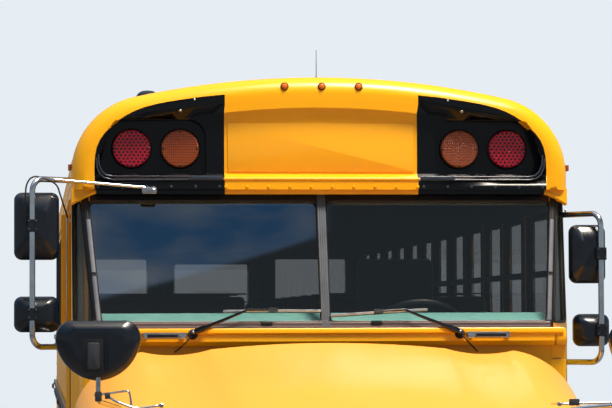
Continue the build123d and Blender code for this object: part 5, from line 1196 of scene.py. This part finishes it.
def foam_block(name, wide, deep, tall, corner, finish):
    """A rounded block in metres round the origin, on its base: X wide, Y deep, Z tall."""
    rings = []
    for rise, inset in ((0, corner * 0.5), (corner * 0.5, 0), (tall - corner, 0),
                        (tall - corner * 0.3, corner * 0.35), (tall, corner)):
        outline = rounded(wide - 2 * inset, deep - 2 * inset, max(4, corner - inset), 3)
        rings.append([Vector((x, y, rise)) / 1000 for x, y in outline])
    return lofted(name, rings, finish)


def swollen(pad, voxel, cap):
    """Cloth pressure in a pad: it crowns between its edges. cap is the farthest a point may move, in millimetres."""
    remesh = pad.modifiers.new("voxels", "REMESH")
    remesh.mode = "VOXEL"
    remesh.voxel_size = voxel / 1000
    settle(pad)
    rest = [v.co.copy() for v in pad.data.vertices]
    cloth = pad.modifiers.new("foam", "CLOTH")
    cloth.settings.use_pressure = True
    cloth.settings.uniform_pressure_force = 4
    cloth.settings.effector_weights.gravity = 0
    cloth.settings.quality = 4
    cloth.point_cache.frame_start, cloth.point_cache.frame_end = 1, CLOTH_FRAMES
    scene = bpy.context.scene
    for i in range(1, CLOTH_FRAMES + 1):
        scene.frame_set(i)
    settle(pad)
    scene.frame_set(1)
    for v, start in zip(pad.data.vertices, rest):
        move = v.co - start
        if move.length > cap / 1000:
            v.co = start + move.normalized() * cap / 1000
    return pad


def finer(pad):
    level = pad.modifiers.new("finer", "SUBSURF")
    level.levels = level.render_levels = 1
    return smooth(settle(pad), 60)


def copies(name, pad, places):
    """A pad repeated by a list of matrices and joined into one object. The pad is used up."""
    shape = bmesh.new()
    for place in places:
        part = pad.data.copy()
        part.transform(place)
        shape.from_mesh(part)
        bpy.data.meshes.remove(part)
    data = bpy.data.meshes.new(name)
    shape.to_mesh(data)
    shape.free()
    finishes = list(pad.data.materials)
    bpy.data.objects.remove(pad)
    return smooth(mesh_object(name, data, finishes), 60)


def benches():
    """Ten rows of two benches: a cushion, and a backrest raked by 8 degrees, both with a piped edge."""
    rows = [(side, 3260 + WINDOW_PITCH * i) for side in (-1, 1) for i in range(10)]
    aisle, wall, wide = 195, 1161, 948
    middle = (aisle + wall) / 2
    cushion = finer(swollen(foam_block("cushion", wide, 384, 104, 34, VINYL), 34, 9))
    places = [Matrix.Translation(spot(side * middle, s + 200, 1407)) for side, s in rows]
    seats = copies("bench_cushions", cushion, places)
    back = finer(swollen(foam_block("backrest", wide, 590, 66, 30, VINYL), 34, 9))
    places = [Matrix.Translation(spot(side * middle, s + 531, 1795)) @ RAKE for side, s in rows]
    backs = copies("bench_backs", back, places)
    mounted(seats, "bus", "seat_pads")
    mounted(backs, "bus")
    piping = [tube("piping", [(side * x, s + back_by, z) for x in (aisle + 20, wall - 20)], 4, PIPING, 8, 6)
              for side, s in rows for back_by, z in ((8, 1497), (572, 2088))]
    bus("bench_piping", piping)


def driver_seat():
    """The driver's air-sprung seat: a cloth cushion and back on a rubber bellows."""
    x, s = 500, 2330
    cushion = finer(swollen(foam_block("driver_cushion", 452, 452, 104, 40, CLOTH), 10, 10))
    cushion.data.transform(Matrix.Translation(spot(x, s + 235, 1448)))
    back = finer(swollen(foam_block("driver_back", 424, 716, 92, 40, CLOTH), 10, 10))
    back.data.transform(Matrix.Translation(spot(x, s + 547, 1911)) @ RAKE)
    folds = []
    for i in range(9):
        half = 128 if i % 2 else 108
        folds.append([spot(x + a, s + 230 + b, FLOOR_Z + 4 + i * 45) for a, b in rounded(2 * half, 2 * half + 60, 30)])
    bellows = smooth(lofted("bellows", folds, RUBBER), 50)
    mounted(cushion, "bus", "driver_seat")
    mounted(back, "bus")
    mounted(bellows, "bus")
    for pad in (cushion, back):
        pad.name = pad.data.name = "driver_cushion" if pad is cushion else "driver_back"


benches()
driver_seat()


# Stage, light and camera

def floor_paper():
    """Pale seamless paper that gives the bus no more bounce than a road would. Far from the bus it turns to the
    backdrop's tone for the camera, so that no edge shows."""
    made, tree, place = material("seamless_paper", "#c2c5c8", 0.9)
    tone, _ = clouded(tree, place, "#c2c5c8", "#bdc1c4", 2.5, 3.0, 0.4, 0.8)
    flat = add(tree, "ShaderNodeVectorMath", {0: place, 1: (1, 1, 0)}, operation="MULTIPLY")
    far = add(tree, "ShaderNodeVectorMath", {0: flat}, operation="LENGTH").node.outputs["Value"]
    fade = add(tree, "ShaderNodeMapRange", {0: far, 1: 9.0, 2: 26.0}, interpolation_type="SMOOTHSTEP")
    seen = add(tree, "ShaderNodeLightPath").node.outputs["Is Camera Ray"]
    asphalt = add(tree, "ShaderNodeMix", {0: seen, 6: linear("#7c7e80"), 7: tone}, data_type="RGBA")
    shader = wired(made, Base_Color=asphalt).node_tree.nodes["Principled BSDF"]
    share = add(tree, "ShaderNodeMath", {0: fade, 1: seen}, operation="MULTIPLY")
    glow = add(tree, "ShaderNodeEmission", {"Color": linear(BACKDROP), "Strength": 1.0})
    mix = add(tree, "ShaderNodeMixShader", {0: share, 1: shader.outputs[0], 2: glow})
    tree.links.new(mix, tree.nodes["Material Output"].inputs["Surface"])
    return made


def stage():
    bpy.ops.mesh.primitive_plane_add(size=400)
    ground = bpy.context.object
    ground.name = "studio_floor"
    ground.data.materials.append(floor_paper())


BACKDROP = "#e6edf3"


def sky():
    """Studio surround: the camera and clear glass see the pale backdrop, reflections see a cloudy sky over grey
    ground with a slanting edge, as in the photograph's windscreen, and the fill lights the bus."""
    world = bpy.data.worlds.new("studio_surround")
    bpy.context.scene.world = world
    world.use_nodes = True
    tree = world.node_tree
    tree.nodes.clear()
    path = add(tree, "ShaderNodeLightPath").node.outputs
    seen = add(tree, "ShaderNodeMath", {0: path["Is Camera Ray"], 1: path["Is Transmission Ray"]},
               operation="MAXIMUM")
    backdrop = add(tree, "ShaderNodeBackground", {"Color": linear(BACKDROP), "Strength": 1.0})
    way = add(tree, "ShaderNodeTexCoord").node.outputs["Generated"]
    axes = add(tree, "ShaderNodeSeparateXYZ", {0: way}).node.outputs
    slant = add(tree, "ShaderNodeMath", {0: axes["X"], 1: -0.177, 2: axes["Z"]}, operation="MULTIPLY_ADD")
    height = add(tree, "ShaderNodeMapRange", {0: slant, 1: 0.6325, 2: 0.6345}, interpolation_type="SMOOTHSTEP")
    drift = add(tree, "ShaderNodeMapping", {"Vector": way, "Scale": (1, 1, 3)})
    puffs = add(tree, "ShaderNodeTexNoise", {"Vector": drift, "Scale": 22.0, "Detail": 6.0})
    cloud = add(tree, "ShaderNodeMapRange", {0: puffs, 1: 0.42, 2: 0.75})
    above = add(tree, "ShaderNodeMix", {0: cloud, 6: linear("#5a97d6"), 7: linear("#cfdcea")}, data_type="RGBA")
    level = add(tree, "ShaderNodeMapRange", {0: axes["Z"], 1: 0.0, 2: 0.6})
    below = add(tree, "ShaderNodeMix", {0: level, 6: linear("#a7b2bb"), 7: linear("#59646c")}, data_type="RGBA")
    left = add(tree, "ShaderNodeMapRange", {0: axes["X"], 1: 0.104, 2: 0.094}, interpolation_type="SMOOTHSTEP")
    open_sky = add(tree, "ShaderNodeMath", {0: height, 1: left}, operation="MULTIPLY")
    around = add(tree, "ShaderNodeMix", {0: open_sky, 6: below, 7: above}, data_type="RGBA")
    high = add(tree, "ShaderNodeMapRange", {0: axes["Z"], 1: 0.7, 2: 0.9})
    haze = add(tree, "ShaderNodeMix", {0: high, 6: around, 7: linear("#f6f8fa")}, data_type="RGBA")
    surround = add(tree, "ShaderNodeBackground", {"Color": haze, "Strength": 1.0})
    fill = add(tree, "ShaderNodeBackground", {"Color": linear("#eef2f6"), "Strength": 0.4})
    glossy = add(tree, "ShaderNodeMixShader", {0: path["Is Glossy Ray"], 1: fill, 2: surround})
    mix = add(tree, "ShaderNodeMixShader", {0: seen, 1: glossy, 2: backdrop})
    add(tree, "ShaderNodeOutputWorld", {0: mix})


def softbox(name, place, target, size, power, colour="#ffffff"):
    """A large lamp turned to its target. Only the key one shows in reflections."""
    lamp = bpy.data.lights.new(name, "AREA")
    lamp.shape = "RECTANGLE"
    lamp.size, lamp.size_y = size
    lamp.energy = power
    lamp.color = linear(colour)[:3]
    made = bpy.data.objects.new(name, lamp)
    made.visible_glossy = name == "key"
    bpy.context.scene.collection.objects.link(made)
    made.location = place
    made.rotation_euler = (Vector(target) - Vector(place)).to_track_quat("-Z", "Y").to_euler()


def camera():
    """The photograph's view: low, a little to the right of the bus, through a long lens."""
    lens_data = bpy.data.cameras.new("camera")
    made = bpy.data.objects.new("camera", lens_data)
    bpy.context.scene.collection.objects.link(made)
    focal, across = 2889, 612     # focal length and width of the photograph, in its own pixels
    lens_data.sensor_width = 36
    lens_data.lens = focal / across * lens_data.sensor_width
    lens_data.clip_end = 500
    yaw, pitch, roll = math.radians(5.39), math.radians(2.34), math.radians(-0.19)
    made.location = spot(-1400, -12280, 1930)
    turn = Matrix.Rotation(-yaw, 4, "Z") @ Matrix.Rotation(math.pi / 2 + pitch, 4, "X") @ Matrix.Rotation(roll, 4, "Z")
    made.rotation_euler = turn.to_euler()
    bpy.context.scene.camera = made


stage()
sky()
softbox("key", (2.4, -7.2, 12.5), (0, -3.5, 1.5), (3, 3), 2220, "#fff4e4")
softbox("side_left", (10, 2, 6), (0, 0, 1.5), (14, 6), 500)
softbox("side_right", (-10, 3, 6), (0, 0, 1.5), (14, 6), 300)
softbox("rear", (2, 14, 8), (0, 5, 1.5), (10, 6), 500)
camera()
bpy.context.scene.view_settings.view_transform = "Standard"
